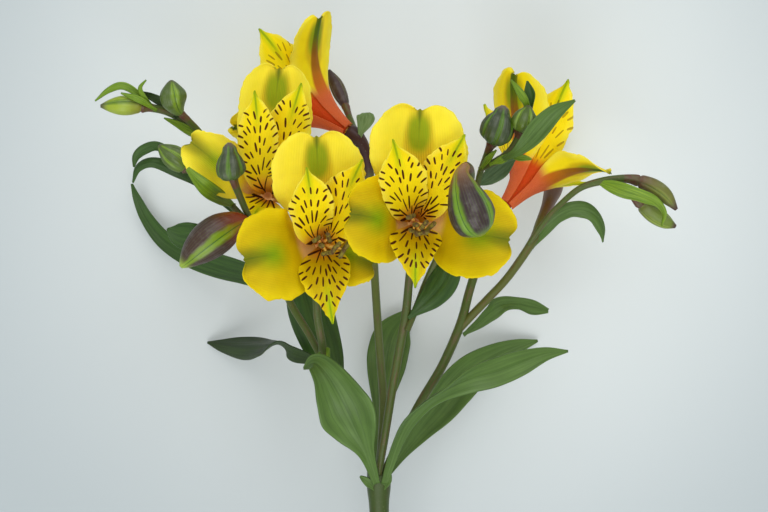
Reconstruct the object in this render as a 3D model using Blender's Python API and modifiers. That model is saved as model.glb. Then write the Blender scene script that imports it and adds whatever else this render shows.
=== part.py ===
"""Cut stem of yellow alstroemeria, lying on a table with the open flowers facing up.

Units: the tables are in millimetres and the scene is in metres, +Z up.
Frame: +X across the flower head, +Y along the stem towards the flowers, origin at the bottom
centre of the whole. Places in the tables are as seen from straight above, at SIGHT_HEIGHT over
the SIGHT_PLANE: true_place() spreads what lies deeper, so that it still shows where it was read.
"""

import math

import bmesh
import bpy
from mathutils import Matrix, Vector

MM = 0.001

# The eye that the places were read from, and the middle of the finished box in that view
SIGHT_PLANE = 70.0
SIGHT_HEIGHT = 960.0
BOX_MIDDLE = (1.76, -66.32, 0.31)

# Gaps between touching pieces
SEAT_GAP = 0.35

# Stems: radius at the cut end, the longest piece between two rings, and how round a ring is
CUT_END_RADIUS = 3.4
TUBE_STEP = 9.0
TUBE_RING = 2

# Leaves and tepals: sheet thickness and grid
LEAF_THICK = 0.7
LEAF_GRID = (4, 9)
TEPAL_THICK = 0.6
TEPAL_GRID = (4, 8)

# How far the foot of a claw stands from the flower's axis
OUTER_FOOT = 2.5
INNER_FOOT = 1.5

# Half-width along a tepal, as a share of its widest place
OUTER_TEPAL = ((0, 0.13), (0.25, 0.16), (0.42, 0.5), (0.6, 0.92), (0.76, 1.0), (0.9, 0.9), (1, 0.62))
INNER_TEPAL = ((0, 0.15), (0.3, 0.24), (0.5, 0.74), (0.66, 1.0), (0.8, 0.9), (0.93, 0.5), (1, 0.12))
CLAW_WRAP = 45

# Stems, as rows of x, y, z and radius
STEMS = {
    "main_stem": (
        (2.5, -200, 3.6, CUT_END_RADIUS), (1.5, -180, 9.4, 3.4), (0.0, -140, 21, 3.3), (-1.2, -100, 33, 3.3),
        (-1.6, -84, 38, 3.4), (-1.7, -77, 40.2, 4.1), (-1.7, -72, 41.8, 4.0),
    ),
    "ray_top": (
        (-1.7, -70.6, 40.0, 1.25), (-0.8, -62, 41, 1.4), (-0.3, -48, 42, 1.4), (-1.7, -28, 42.5, 1.4),
        (-3, -8, 41, 1.4), (-4, 12, 40, 1.4), (-4.7, 23, 41, 1.5), (-5.2, 30, 43.5, 1.9), (-6.8, 36, 46, 2.2),
        (-9.3, 39.7, 47.2, 2.7), (-11.6, 41.5, 46.5, 2.8),
    ),
    "ray_centre": (
        (-1.7, -71.9, 44.2, 1.25), (0.3, -60, 48, 1.4), (2.5, -46, 51.5, 1.5), (5, -32, 54.5, 1.5),
        (7.2, -20, 57.5, 1.5), (8.4, -8, 60, 1.4), (9.4, 2, 62, 1.4), (10.1, 8, 64.5, 1.6), (10.3, 10.8, 68, 2.2),
        (10.3, 11.3, 72, 2.9), (10.3, 11.3, 75.6, 2.9),
    ),
    "ray_right": (
        (0.5, -71.1, 42.2, 1.25), (5, -62, 43.5, 1.4), (12, -49, 46, 1.5), (19.5, -36.5, 48.5, 1.6),
        (25.4, -23, 50, 1.6), (28.4, -12, 50, 1.5), (31.4, -2, 49.5, 1.5), (33.3, 5, 49.2, 1.6),
        (35.4, 10.4, 48.5, 2.4), (38, 13.6, 47.4, 2.8), (40.2, 16.2, 46.3, 2.8),
    ),
    "ray_left": (
        (-3.9, -71.1, 42.2, 1.25), (-8, -61, 44, 1.4), (-14, -48, 46.5, 1.4), (-19.5, -37, 48.5, 1.4),
        (-20.8, -28, 51.5, 1.4), (-22.3, -19, 54, 1.4), (-22.3, -9, 56, 1.4), (-21.5, -1, 58, 1.5),
        (-20.8, 3.5, 61.5, 2.1), (-20.7, 4.3, 66, 2.9), (-20.7, 4.3, 69.6, 2.9),
    ),
    "branch_left": (
        (-19.8, -36, 48, 1.1), (-25, -26, 46, 1.3), (-31.3, -15.3, 44, 1.3), (-35.5, -3, 40, 1.3),
        (-38, 8, 38, 1.3), (-38.8, 15.5, 39, 1.4), (-38.9, 19, 42, 2.0), (-38.7, 20, 46, 2.9), (-38.7, 20, 51.6, 2.9),
    ),
    "branch_right": (
        (25.6, -24, 50, 1.2), (29.5, -19.6, 50.6, 1.4), (34.6, -14.3, 51, 1.4), (41.5, -6.8, 51.7, 1.4),
        (49.3, 4.5, 50.5, 1.5), (52, 11, 44, 1.6), (54.2, 16, 36.5, 2.0), (55.5, 19.4, 30.5, 2.6), (56.4, 21.8, 26.4, 3.1),
        (57.2, 24, 22.8, 2.9), (57.9, 26, 20, 1.6), (58.3, 27.2, 18.6, 0.5),
    ),
}

# Buds on their stalks, as rows of x, y, z and radius
BUDS = {
    "bud_far_left": (
        (-39.2, 14, 38.5, 1.0), (-47, 25, 42, 1.1), (-60.3, 39.7, 47, 1.2), (-70, 47, 50, 1.3), (-77, 49.3, 52, 1.4),
        (-81, 49.8, 53, 2.2), (-84.5, 50, 53.5, 3.2), (-88, 50, 54, 3.2), (-91.5, 50, 54, 2.1), (-94.5, 50, 54, 0.5),
    ),
    "bud_upper_left": (
        (-60.0, 39.8, 47.5, 0.9), (-62.5, 42.4, 50, 1.1), (-65.5, 45.4, 52.5, 1.2), (-67.7, 47.6, 54, 1.5),
        (-69, 49.4, 55, 2.8), (-70, 51.8, 56, 4.3), (-70.5, 54.6, 56.6, 4.2), (-70.8, 57.4, 57, 2.0),
        (-70.9, 58.6, 57, 0.5),
    ),
    "bud_left": (
        (-42, 7.2, 65.5, 0.9), (-49, 15, 61, 1.1), (-57, 22.5, 59, 1.2), (-63.5, 28, 59.5, 1.4), (-66, 30, 60, 3.0),
        (-68.6, 32, 60.5, 4.0), (-71.5, 34, 61, 3.6), (-74, 36, 61.5, 1.8), (-75, 37, 61.5, 0.5),
    ),
    "bud_front_left": (
        (-33.8, -8, 42.5, 1.0), (-37, -2, 52, 1.2), (-41.5, 6, 65, 1.3), (-45.5, 14, 76, 1.3), (-48.7, 21.5, 84, 1.4),
        (-50.0, 25.4, 87, 1.9), (-50.6, 27.8, 88, 4.3), (-51.1, 30.6, 88.5, 4.7), (-51.4, 34, 89, 3.0),
        (-51.5, 37.4, 89, 0.5),
    ),
    "bud_large_left": (
        (-41.5, 5.2, 64, 1.0), (-44, 8.3, 70, 1.2), (-46, 11, 75.5, 1.8), (-49.5, 10.8, 79, 4.0), (-54, 8.5, 81, 6.0),
        (-58.5, 5.3, 82, 6.3), (-62.5, 1.8, 82, 5.0), (-66, -1.8, 81, 2.5), (-67.7, -3.6, 80.5, 0.7),
    ),
    "bud_large_right": (
        (8.3, -23.4, 58, 1.1), (11.3, -16, 57.5, 1.2), (14.6, -7.5, 57.5, 1.2), (20, 4, 63, 1.2), (25.4, 16, 78, 1.2),
        (28.6, 24.3, 94, 1.2), (28.9, 28.6, 104, 1.2), (27.3, 29.8, 109.4, 1.5), (26.1, 26.6, 113.8, 3.0),
        (27.2, 21.6, 116.8, 5.4), (29.2, 15.8, 118, 6.8), (31.2, 11, 118, 6.0), (32.8, 8, 117.4, 3.6),
        (33.6, 6.8, 117, 1.0),
    ),
    "bud_upper_right": (
        (30.2, -7, 50, 1.0), (31.3, 4, 60, 1.2), (31, 16, 72, 1.3), (31.5, 25.5, 80, 1.3), (34, 33.5, 85, 1.3),
        (36.0, 37.4, 87, 2.2), (37.2, 40, 88, 4.4), (38.1, 42.9, 88.5, 5.2), (38.8, 46, 89, 3.9), (39.6, 49.8, 89, 0.6),
    ),
    "bud_mid_right": (
        (33.3, 29.5, 83.5, 1.0), (37.5, 31.6, 86, 1.3), (41.5, 34.6, 87, 1.1), (44.6, 39.2, 88, 1.2),
        (45.6, 41.3, 88, 2.6), (46.6, 44, 88.5, 4.3), (47.6, 47.4, 89, 3.2), (48.2, 50.4, 89, 0.6),
    ),
    "bud_far_right_upper": (
        (49, 5.0, 52, 0.9), (54, 12, 54.4, 1.0), (59, 17.4, 55, 1.0), (65.6, 22.7, 55.5, 1.1), (73, 25, 56, 1.3),
        (80, 25.8, 56, 1.4), (85, 25, 55.5, 2.2), (90, 22.8, 55, 2.9), (94, 19.8, 54.5, 2.5), (97.5, 15.5, 54, 0.6),
    ),
    "bud_far_right_lower": (
        (78.5, 25.3, 54.6, 0.8), (82, 21.5, 52.5, 1.3), (86, 17.2, 51, 2.3), (90, 14, 50, 3.0), (94, 11.4, 49.5, 2.4),
        (97.2, 9.8, 49, 0.6),
    ),
    "bud_top": (
        (-7.4, 37.2, 46.2, 0.9), (-9.6, 41.6, 39.5, 1.1), (-11.6, 46.5, 33.5, 1.1), (-13, 50.4, 30.5, 1.6),
        (-14.6, 54, 28.6, 2.4), (-16.4, 58, 27.4, 2.2), (-18.4, 62, 26.6, 0.5),
    ),
}

# What each stem or bud stalk grows from
GROWS_FROM = {
    "branch_left": ("ray_left",),
    "branch_right": ("ray_right",),
    "bud_far_left": ("branch_left",),
    "bud_upper_left": ("bud_far_left",),
    "bud_left": ("bud_front_left",),
    "bud_front_left": ("branch_left",),
    "bud_large_left": ("bud_front_left",),
    "bud_large_right": ("ray_centre",),
    "bud_upper_right": ("ray_right",),
    "bud_mid_right": ("bud_upper_right",),
    "bud_far_right_upper": ("branch_right",),
    "bud_far_right_lower": ("bud_far_right_upper",),
    "bud_top": ("ray_top",),
}

# Leaves: the stems they grow from, arch of the section in degrees,
# and rows of x, y, z, half-width and roll in degrees
LEAVES = {
    "leaf_front_left": (
        ("main_stem", "ray_left"), 35,
        ((-2.9, -74.5, 45.6, 1.4, 0), (-6, -65, 51, 3.2, -10), (-9.3, -58, 55, 8.0, -15), (-12, -52, 58, 10.2, -12),
         (-15.3, -45.7, 60, 8.4, -6), (-19, -39.5, 60.5, 5.6, 5), (-23, -35.6, 58.5, 3.6, 25),
         (-26.7, -37.5, 55.5, 0.5, 40)),
    ),
    "leaf_low_left": (
        ("ray_left", "branch_left"), 30,
        ((-20.3, -36.2, 46.8, 0.9, -10), (-25, -34.1, 42, 2.0, -25), (-30.8, -32, 37.5, 3.3, -50),
         (-34.8, -29.6, 32, 3.6, -85), (-40.5, -30, 23, 4.6, -130), (-47.7, -30.3, 13.5, 4.4, -160),
         (-54, -29.8, 6, 2.6, -175), (-58.8, -28.8, 1.6, 0.4, -180)),
    ),
    "leaf_behind_left": (
        ("ray_left",), -30,
        ((-12.5, -51, 45, 1.2, 0), (-16.5, -43, 40, 3.6, 0), (-19.5, -33, 36.5, 6.4, 0), (-23.5, -21.7, 34, 8.0, 0),
         (-26, -13, 32, 7.4, 0), (-28.5, -3, 30, 3.4, 0), (-29.5, 2, 29, 0.5, 0)),
    ),
    "leaf_back": (
        ("main_stem",), 25,
        ((-2.4, -73.5, 37.8, 0.9, 0), (-2.2, -64, 31, 1.2, 0), (-1.2, -53, 22, 2.4, 0), (-0.4, -46, 15, 4.6, 0),
         (0.6, -38, 9, 7.0, 0), (1.6, -31, 5, 7.5, 0), (3.6, -25, 3, 6.2, 0), (8.7, -17.7, 2.5, 0.6, 0)),
    ),
    "leaf_front_right": (
        ("main_stem", "ray_right"), 30,
        ((0.4, -74.5, 45.4, 1.2, 20), (4.3, -62.5, 52, 2.6, 45), (8, -54.7, 56, 4.0, 58), (13.7, -49, 58.5, 4.8, 68),
         (20.3, -44.8, 59, 5.3, 66), (28.7, -41, 58.5, 5.6, 40), (37, -38.7, 57.5, 5.3, 15), (45.3, -35.7, 56, 4.5, 5),
         (53.7, -32.7, 53.5, 2.5, 0), (61.3, -31.7, 50.5, 0.4, 0)),
    ),
    "leaf_behind_right": (
        ("main_stem",), 28,
        ((0.8, -73.5, 38.6, 0.9, 0), (6, -66.3, 33, 1.8, 0), (12, -58.3, 27, 4.2, 0), (18, -51.2, 21, 6.2, 0),
         (23.4, -44.5, 15.5, 6.8, 0), (29.5, -38.4, 10.5, 6.4, 0), (37.4, -33.4, 6, 4.8, 0), (44.3, -30.2, 3.2, 2.8, 0),
         (51.2, -28.2, 1.6, 0.4, 0)),
    ),
    "leaf_middle": (
        ("bud_large_right",), -35,
        ((9.2, -19.8, 59.4, 0.8, 0), (12.3, -17.0, 61, 2.6, 0), (16.3, -13.3, 61.5, 4.4, 0), (19.7, -8.8, 61, 5.2, 0),
         (22, -3.7, 60, 4.2, 0), (23.7, 2.5, 58, 0.5, 0)),
    ),
    "leaf_low_right": (
        ("branch_right",), 30,
        ((27.6, -25.3, 49.8, 0.8, 30), (31.3, -22.4, 48, 2.2, 40), (35, -19.0, 46.5, 3.2, 35), (39.3, -16.3, 44, 3.0, -20),
         (44.3, -16, 41, 2.4, -35), (49.7, -17.3, 38, 2.6, -10), (54.7, -18.3, 35, 0.8, 0)),
    ),
    "leaf_right": (
        ("branch_right",), -25,
        ((49.9, 4.0, 50.2, 0.9, 0), (53.7, 9.0, 49.5, 2.2, 10), (58, 13, 51, 2.8, 30), (62.7, 15.3, 51.5, 2.8, 20),
         (67.3, 15.3, 51, 2.8, -10), (70.7, 13, 50, 2.5, -30), (72.7, 8.7, 48, 2.0, -45), (73, 4.7, 46, 0.4, -60)),
    ),
    "leaf_far_right": (
        ("bud_far_right_upper",), -30,
        ((71.6, 24.6, 56.4, 0.6, 0), (75.3, 23.4, 58.6, 2.0, 10), (80.3, 21.6, 60.4, 2.7, 20), (85.3, 20, 60.5, 2.5, 30),
         (90.3, 17.8, 59.6, 2.0, 40), (93, 14.3, 57.5, 1.4, 60), (92.5, 10, 56, 0.4, 70)),
    ),
    "leaf_long_left": (
        ("branch_left",), 30,
        ((-31.8, -14.3, 43.5, 0.9, 0), (-38, -9.6, 36, 2.6, 0), (-46.3, -6, 27, 4.0, 5), (-55.3, -3.4, 18, 4.5, 10),
         (-64.7, 0, 10, 4.4, 10), (-73, 5, 5, 4.0, 5), (-78.7, 12, 3.5, 3.2, 0), (-82, 18.7, 5, 2.0, -10),
         (-84, 24, 8, 0.4, -20)),
    ),
    "leaf_left": (
        ("bud_left",), -30,
        ((-48, 13.2, 61.4, 0.9, 0), (-54, 17.5, 58.6, 2.8, 10), (-62, 23.5, 55, 3.0, 10), (-69, 28, 54, 2.4, 0),
         (-77, 31.3, 55, 1.8, 10), (-82, 29.5, 53.5, 1.6, 30), (-83.7, 24.5, 51, 0.4, 40)),
    ),
    "leaf_upper_right": (
        ("bud_mid_right",), 30,
        ((40, 32.4, 88.6, 0.8, 0), (43.7, 34.3, 91.8, 1.5, -10), (48, 38, 93.6, 2.9, -15), (52.3, 42.7, 94, 3.7, -20),
         (57, 47.7, 93, 2.7, -10), (63.6, 51.9, 90, 0.4, 0)),
    ),
    "leaf_grey_right": (
        ("bud_upper_right",), 30,
        ((31.6, 24, 78, 0.8, 0), (34.6, 26, 76.6, 2.6, 10), (38.7, 29.3, 76, 3.4, 15), (43.6, 32.4, 75, 0.5, 20)),
    ),
}

# Flowers: where the tepals are seated and which way the flower faces. Each tepal is its tip as
# x, y, z, how far its foot stands turned round the axis from its tip, the leans of its foot and
# its tip from the axis, its widest half-width, the arch of its section and its roll, in degrees
FLOWERS = {
    "centre": {
        "seat": (10.3, 11.3, 76.0), "faces": (0, 0, 1),
        "outer_top": ("outer", (12, 50.2, 100), 0, 18, 95, 16.4, 18, 0),
        "outer_left": ("outer", (-10.8, 14.0, 106), 30, 18, 82, 14.6, 18, 0),
        "outer_right": ("outer", (42.4, 5.5, 105), -20, 20, 92, 14.4, 18, 0),
        "inner_left": ("inner", (3.4, 38.6, 116), 34, 8, 48, 7.9, 25, 0),
        "inner_right": ("inner", (26.2, 40.0, 108), -28, 8, 60, 7.4, 25, 0),
        "inner_bottom": ("inner", (10.4, -9.7, 108), 0, 10, 88, 8.4, 20, 0),
    },
    "front_left": {
        "seat": (-20.7, 4.3, 70.0), "faces": (0, 0, 1),
        "outer_top": ("outer", (-22.5, 41.0, 94), 0, 18, 92, 15.6, 18, 0),
        "outer_left": ("outer", (-46.8, -1.2, 101), 22, 18, 85, 15.4, 18, 0),
        "outer_right": ("outer", (-2.6, -4, 91), -10, 22, 85, 11.6, 18, 0),
        "inner_left": ("inner", (-25.6, 28.6, 111), 42, 8, 44, 7.4, 25, 0),
        "inner_right": ("inner", (-7.8, 31.8, 104), -38, 8, 56, 7.6, 25, 0),
        "inner_bottom": ("inner", (-17.3, -22.5, 100), 0, 10, 88, 8.3, 20, 0),
    },
    "back_left": {
        "seat": (-38.7, 20.0, 52.0), "faces": (0, 0, 1),
        "outer_top": ("outer", (-34, 63.2, 74), 0, 18, 92, 13.2, 18, 0),
        "outer_left": ("outer", (-65.9, 34.7, 76), 50, 18, 88, 11.0, 18, -30),
        "outer_right": ("outer", (-22, 29, 73), -40, 18, 70, 9.0, 18, 0),
        "inner_left": ("inner", (-43.2, 55, 90), 46, 8, 58, 6.9, 25, 0),
        "inner_right": ("inner", (-27.6, 57.3, 84), -46, 8, 70, 7.4, 25, 0),
        "inner_bottom": ("inner", (-43.5, 12, 69), 10, 10, 88, 5.4, 20, 0),
    },
    "top": {
        "seat": (-11.9, 41.8, 46.4), "faces": (-0.74, 0.58, -0.34),
        "outer_right": ("outer", (-22.6, 80.4, 52), -8, 8, 62, 11.6, 22, 0),
        "outer_left": ("outer", (-49.7, 43, 50), 0, 14, 55, 11.0, 12, 0),
        "outer_under": ("outer", (-33, 58, 0.6), 0, 14, 75, 12.0, 30, 0),
        "inner_tepals": (
            ("inner", (-40.9, 74.7, 56), -20, 10, 35, 7.5, 32, 0),
            ("inner", (-21.6, 65.1, 31), 0, 10, 40, 6.5, 35, 0),
            ("inner", (-37.9, 39.9, 29), 0, 10, 45, 6.5, 35, 0),
        ),
    },
    "right": {
        "seat": (40.5, 16.6, 46.2), "faces": (0.58, 0.69, -0.43),
        "outer_left": ("outer", (47.4, 60.2, 57), -14, 8, 52, 13.4, 45, 0),
        "outer_right": ("outer", (75.3, 28.3, 55), 0, 14, 60, 9.6, 40, 0),
        "outer_under": ("outer", (54, 35, 0.6), 0, 14, 75, 9.0, 30, 0),
        "inner_tepals": (
            ("inner", (61, 57.6, 52), 18, 10, 40, 7.5, 35, 0),
            ("inner", (37, 50, 28), 0, 10, 40, 6.5, 35, 0),
            ("inner", (66, 24.5, 36), 0, 10, 40, 5.5, 35, 0),
        ),
    },
}

# Anthers of the two flowers that show them, each as how far it stands right, up and along the axis
STAMENS = {
    "centre": ((-3.5, 2.5, 34), (0.5, -1, 33), (2.5, 2.8, 35), (-1.5, -3.5, 31), (4.5, -2, 33), (1.5, -5, 32)),
    "front_left": ((-3, 1, 33), (3.5, 1.5, 34), (1, -2, 32), (4.5, -2.5, 33), (-1.5, -3.5, 31), (6, 0.5, 33)),
}
FILAMENT = 0.45
ANTHER = 1.1

GREEN = (0.09, 0.2, 0.04)
STEM_GREEN = (0.16, 0.2, 0.07)
BUD_GREEN = (0.14, 0.2, 0.06)
YELLOW = (0.85, 0.68, 0.02)
ANTHER_BROWN = (0.12, 0.1, 0.03)


def clear_scene():
    for obj in list(bpy.data.objects):
        bpy.data.objects.remove(obj)


def new_collection(name):
    made = bpy.data.collections.new(name)
    bpy.context.scene.collection.children.link(made)
    return made


def material(name, colour, roughness):
    made = bpy.data.materials.new(name)
    made.use_nodes = True
    shader = made.node_tree.nodes["Principled BSDF"]
    shader.inputs["Base Color"].default_value = (*colour, 1)
    shader.inputs["Roughness"].default_value = roughness
    shader.inputs["Metallic"].default_value = 0
    return made


def move_to(obj, collection):
    for old in list(obj.users_collection):
        old.objects.unlink(obj)
    collection.objects.link(obj)


def true_place(row):
    """Metres in the part's frame of a place given in millimetres as it is seen."""
    x, y, z = row[:3]
    spread = 1 - (z - SIGHT_PLANE) / SIGHT_HEIGHT
    return (Vector((x * spread, y * spread, z)) - Vector(BOX_MIDDLE)) * MM


def smooth_rows(rows, longest):
    """The rows with more between them, along a smooth curve, wherever two are over longest apart."""
    ends = [[2 * a - b for a, b in zip(rows[0], rows[1])], [2 * a - b for a, b in zip(rows[-1], rows[-2])]]
    knots = [ends[0], *rows, ends[1]]
    fine = []
    for a, b, c, d in zip(knots, knots[1:], knots[2:], knots[3:]):
        steps = max(1, math.ceil(math.dist(b[:3], c[:3]) / longest))
        for step in range(steps):
            t = step / steps
            fine.append([
                0.5 * (2 * q + (r - p) * t + (2 * p - 5 * q + 4 * r - s) * t * t + (3 * q - p - 3 * r + s) * t ** 3)
                for p, q, r, s in zip(a, b, c, d)
            ])
    return fine + [list(rows[-1])]


def even_rows(rows, count):
    """That many rows evenly spaced along a smooth curve through the given rows."""
    fine = smooth_rows(rows, 0.5)
    along = [0.0]
    for a, b in zip(fine, fine[1:]):
        along.append(along[-1] + math.dist(a[:3], b[:3]))
    found, k = [], 0
    for i in range(count):
        want = along[-1] * i / (count - 1)
        while k < len(fine) - 2 and along[k + 1] < want:
            k += 1
        t = (want - along[k]) / max(along[k + 1] - along[k], 1e-9)
        found.append([a + (b - a) * t for a, b in zip(fine[k], fine[k + 1])])
    return found


def share_at(keys, v):
    """Smooth value at v of a profile given as pairs of place and value."""
    v = min(max(v, keys[0][0]), keys[-1][0])
    for (v0, w0), (v1, w1) in zip(keys, keys[1:]):
        if v <= v1:
            t = (v - v0) / (v1 - v0)
            return w0 + (w1 - w0) * t * t * (3 - 2 * t)
    return keys[-1][1]


def tube(name, rows, collection, look, extra=0.0, roundness=TUBE_RING):
    """A round stem as a curve object, whose radius follows the rows, fattened by extra."""
    rings = smooth_rows(rows, TUBE_STEP)
    data = bpy.data.curves.new(name, "CURVE")
    data.dimensions = "3D"
    data.bevel_depth = MM
    data.bevel_resolution = roundness
    data.use_fill_caps = True
    spline = data.splines.new("POLY")
    spline.points.add(len(rings) - 1)
    for point, row in zip(spline.points, rings):
        point.co = (*true_place(row), 1)
        point.radius = row[3] + extra
    obj = bpy.data.objects.new(name, data)
    data.materials.append(look)
    collection.objects.link(obj)
    return obj


def as_mesh(curve):
    """A welded mesh object in place of a curve object."""
    graph = bpy.context.evaluated_depsgraph_get()
    data = bpy.data.meshes.new_from_object(curve.evaluated_get(graph))
    work = bmesh.new()
    work.from_mesh(data)
    bmesh.ops.remove_doubles(work, verts=work.verts, dist=0.00001)
    bmesh.ops.recalc_face_normals(work, faces=work.faces)
    work.to_mesh(data)
    work.free()
    name, home = curve.name, curve.users_collection[0]
    made = bpy.data.objects.new(name + "_mesh", data)
    made.matrix_world = curve.matrix_world
    bpy.data.objects.remove(curve)
    made.name = name
    home.objects.link(made)
    return made


def hide_helper(obj, helpers):
    move_to(obj, helpers)
    obj.hide_render = True
    obj.display_type = "WIRE"


def boolean(obj, other, operation):
    step = obj.modifiers.new(operation.title(), "BOOLEAN")
    step.operation = operation
    step.solver = "EXACT"
    step.object = other


def make_stems(plant, helpers, looks):
    """Stems and budded stalks; each that grows from another stops short of it by the seat gap."""
    rows_of = {**STEMS, **BUDS}
    cutters = {}
    for name, rows in rows_of.items():
        cutters[name] = as_mesh(tube("around_" + name, rows, helpers, looks["stem"], SEAT_GAP))
        hide_helper(cutters[name], helpers)
    for name, rows in rows_of.items():
        obj = as_mesh(tube(name, rows, plant, looks["stem"] if name in STEMS else looks["bud"]))
        for host in GROWS_FROM.get(name, ()):
            boolean(obj, cutters[host], "DIFFERENCE")
    return cutters


def unit_sheet(name, grid, collection, look):
    """A flat grid from -1 to 1 in x and y, ready to be shaped."""
    bpy.ops.mesh.primitive_grid_add(x_subdivisions=grid[0], y_subdivisions=grid[1], size=2)
    obj = bpy.context.object
    obj.name = name
    obj.data.name = name
    obj.data.materials.append(look)
    move_to(obj, collection)
    return obj


def shape_sheet(obj, surface, thick):
    """Moves each vertex of a unit sheet to surface(u, v), gives it thickness and points it outwards."""
    for vertex in obj.data.vertices:
        vertex.co = surface(vertex.co.x, (vertex.co.y + 1) / 2)
    obj.data.shade_smooth()
    step = obj.modifiers.new("Thickness", "SOLIDIFY")
    step.thickness = thick * MM
    step.offset = 0


def leaf_surface(rows, arch):
    """The blade as a function of u across, from -1 to 1, and v along, from 0 to 1."""
    stations = 49
    line = even_rows(rows, stations)
    centre = [true_place(row) for row in line]
    bend = math.radians(arch)

    def surface(u, v):
        k = min(int(v * (stations - 1)), stations - 2)
        t = v * (stations - 1) - k
        ahead = (centre[k + 1] - centre[k]).normalized()
        if 0 < k:
            before = (centre[k] - centre[k - 1]).normalized()
            ahead = before.lerp(ahead, 0.5 + 0.5 * t).normalized()
        side = Vector((0, 0, 1)).cross(ahead).normalized()
        face = ahead.cross(side)
        half, roll = (a + (b - a) * t for a, b in zip(line[k][3:], line[k + 1][3:]))
        roll = math.radians(roll)
        across = side * math.cos(roll) + face * math.sin(roll)
        out = face * math.cos(roll) - side * math.sin(roll)
        radius = max(half, 0.3) / bend
        place = centre[k].lerp(centre[k + 1], t)
        return place + MM * radius * (across * math.sin(bend * u) + out * (1 - math.cos(bend * u)))

    return surface


def make_leaves(plant, looks, cutters):
    for name, (hosts, arch, rows) in LEAVES.items():
        leaf = unit_sheet(name, LEAF_GRID, plant, looks["leaf"])
        shape_sheet(leaf, leaf_surface(rows, arch), LEAF_THICK)
        for host in hosts:
            boolean(leaf, cutters[host], "DIFFERENCE")


def tepal_surface(seat, faces, kind, tip, foot_turn, foot_lean, tip_lean, half_width, arch, roll):
    """A tepal: a narrow claw rises beside the flower's axis and widens into a spreading limb."""
    axis = Vector(faces).normalized()
    start = true_place(seat) / MM + axis * SEAT_GAP
    end = true_place(tip) / MM
    out = ((end - start) - axis * (end - start).dot(axis)).normalized()
    foot_out = Matrix.Rotation(math.radians(foot_turn), 3, axis) @ out
    shape = OUTER_TEPAL if kind == "outer" else INNER_TEPAL
    foot = start + foot_out * (OUTER_FOOT if kind == "outer" else INNER_FOOT)
    span = (end - foot).length
    a, b = math.radians(foot_lean), math.radians(tip_lean)
    knots = (
        foot,
        foot + 0.5 * span * (foot_out * math.sin(a) + axis * math.cos(a)),
        end - 0.4 * span * (out * math.sin(b) + axis * math.cos(b)),
        end,
    )
    foot_across, tip_across = axis.cross(foot_out), axis.cross(out)
    rounding = 0.09 if kind == "outer" else 0.0

    def surface(u, v):
        v -= rounding * u * u * share_at(((0, 0), (0.6, 0), (1, 1)), v)
        w = 1 - v
        at = w ** 3 * knots[0] + 3 * w * w * v * knots[1] + 3 * w * v * v * knots[2] + v ** 3 * knots[3]
        way = w * w * (knots[1] - knots[0]) + 2 * w * v * (knots[2] - knots[1]) + v * v * (knots[3] - knots[2])
        way.normalize()
        across = foot_across.lerp(tip_across, share_at(((0, 0), (0.7, 1)), v))
        inward = way.cross(across).normalized()
        across = inward.cross(way)
        turn = math.radians(roll) * v * v
        side = across * math.cos(turn) + inward * math.sin(turn)
        inward = inward * math.cos(turn) - across * math.sin(turn)
        wrap = math.radians(share_at(((0, CLAW_WRAP), (0.45, arch)), v))
        radius = half_width * share_at(shape, v) / wrap
        return MM * (at + radius * (side * math.sin(wrap * u) + inward * (1 - math.cos(wrap * u))))

    return surface


def make_flowers(plant, helpers, looks):
    for flower, parts in FLOWERS.items():
        for part, data in parts.items():
            if part in ("seat", "faces"):
                continue
            name = f"flower_{flower}_{part}"
            joined = data if isinstance(data[0], tuple) else (data,)
            made = []
            for count, one in enumerate(joined):
                sheet = unit_sheet(name if count == 0 else f"{name}_{count}", TEPAL_GRID, plant, looks["tepal"])
                shape_sheet(sheet, tepal_surface(parts["seat"], parts["faces"], *one), TEPAL_THICK)
                made.append(sheet)
            if len(made) > 1:
                join_at_foot(made, parts, helpers)


def join_at_foot(sheets, parts, helpers):
    """Makes the inner tepals of one flower a single body on a small disc."""
    axis = Vector(parts["faces"]).normalized()
    foot = true_place(parts["seat"]) + axis * (SEAT_GAP + 0.9) * MM
    bpy.ops.mesh.primitive_cylinder_add(vertices=12, radius=1.75 * MM, depth=1.2 * MM)
    disc = bpy.context.object
    disc.data.transform(axis.to_track_quat("Z", "Y").to_matrix().to_4x4())
    disc.location = foot
    disc.name = sheets[0].name + "_disc"
    hide_helper(disc, helpers)
    for other in sheets[1:]:
        hide_helper(other, helpers)
    boolean(sheets[0], disc, "UNION")
    for other in sheets[1:]:
        boolean(sheets[0], other, "UNION")


def make_stamens(plant, helpers, looks):
    for flower, anthers in STAMENS.items():
        x, y, z = FLOWERS[flower]["seat"]
        name = f"flower_{flower}_stamens"
        made = []
        for count, (right, up, along) in enumerate(anthers):
            turn = math.atan2(up, right)
            rows = (
                (x + 0.25 * math.cos(turn), y + 0.25 * math.sin(turn), z + SEAT_GAP, FILAMENT),
                (x + 0.5 * right, y + 0.5 * up, z + 0.7 * along, FILAMENT),
                (x + right, y + up, z + along, ANTHER),
                (x + 1.45 * right, y + 1.45 * up, z + along + 2, FILAMENT),
            )
            label = name if count == 0 else f"{name}_{count}"
            made.append(as_mesh(tube(label, rows, plant, looks["anther"], roundness=0)))
        for other in made[1:]:
            hide_helper(other, helpers)
            boolean(made[0], other, "UNION")


def main():
    clear_scene()
    plant = new_collection("alstroemeria_stem")
    helpers = new_collection("cutters")
    looks = {
        "stem": material("stem_skin", STEM_GREEN, 0.5),
        "leaf": material("leaf_blade", GREEN, 0.45),
        "bud": material("bud_skin", BUD_GREEN, 0.5),
        "tepal": material("yellow_tepal", YELLOW, 0.5),
        "anther": material("anther_skin", ANTHER_BROWN, 0.7),
    }
    cutters = make_stems(plant, helpers, looks)
    make_leaves(plant, looks, cutters)
    make_flowers(plant, helpers, looks)
    make_stamens(plant, helpers, looks)


main()
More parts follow.
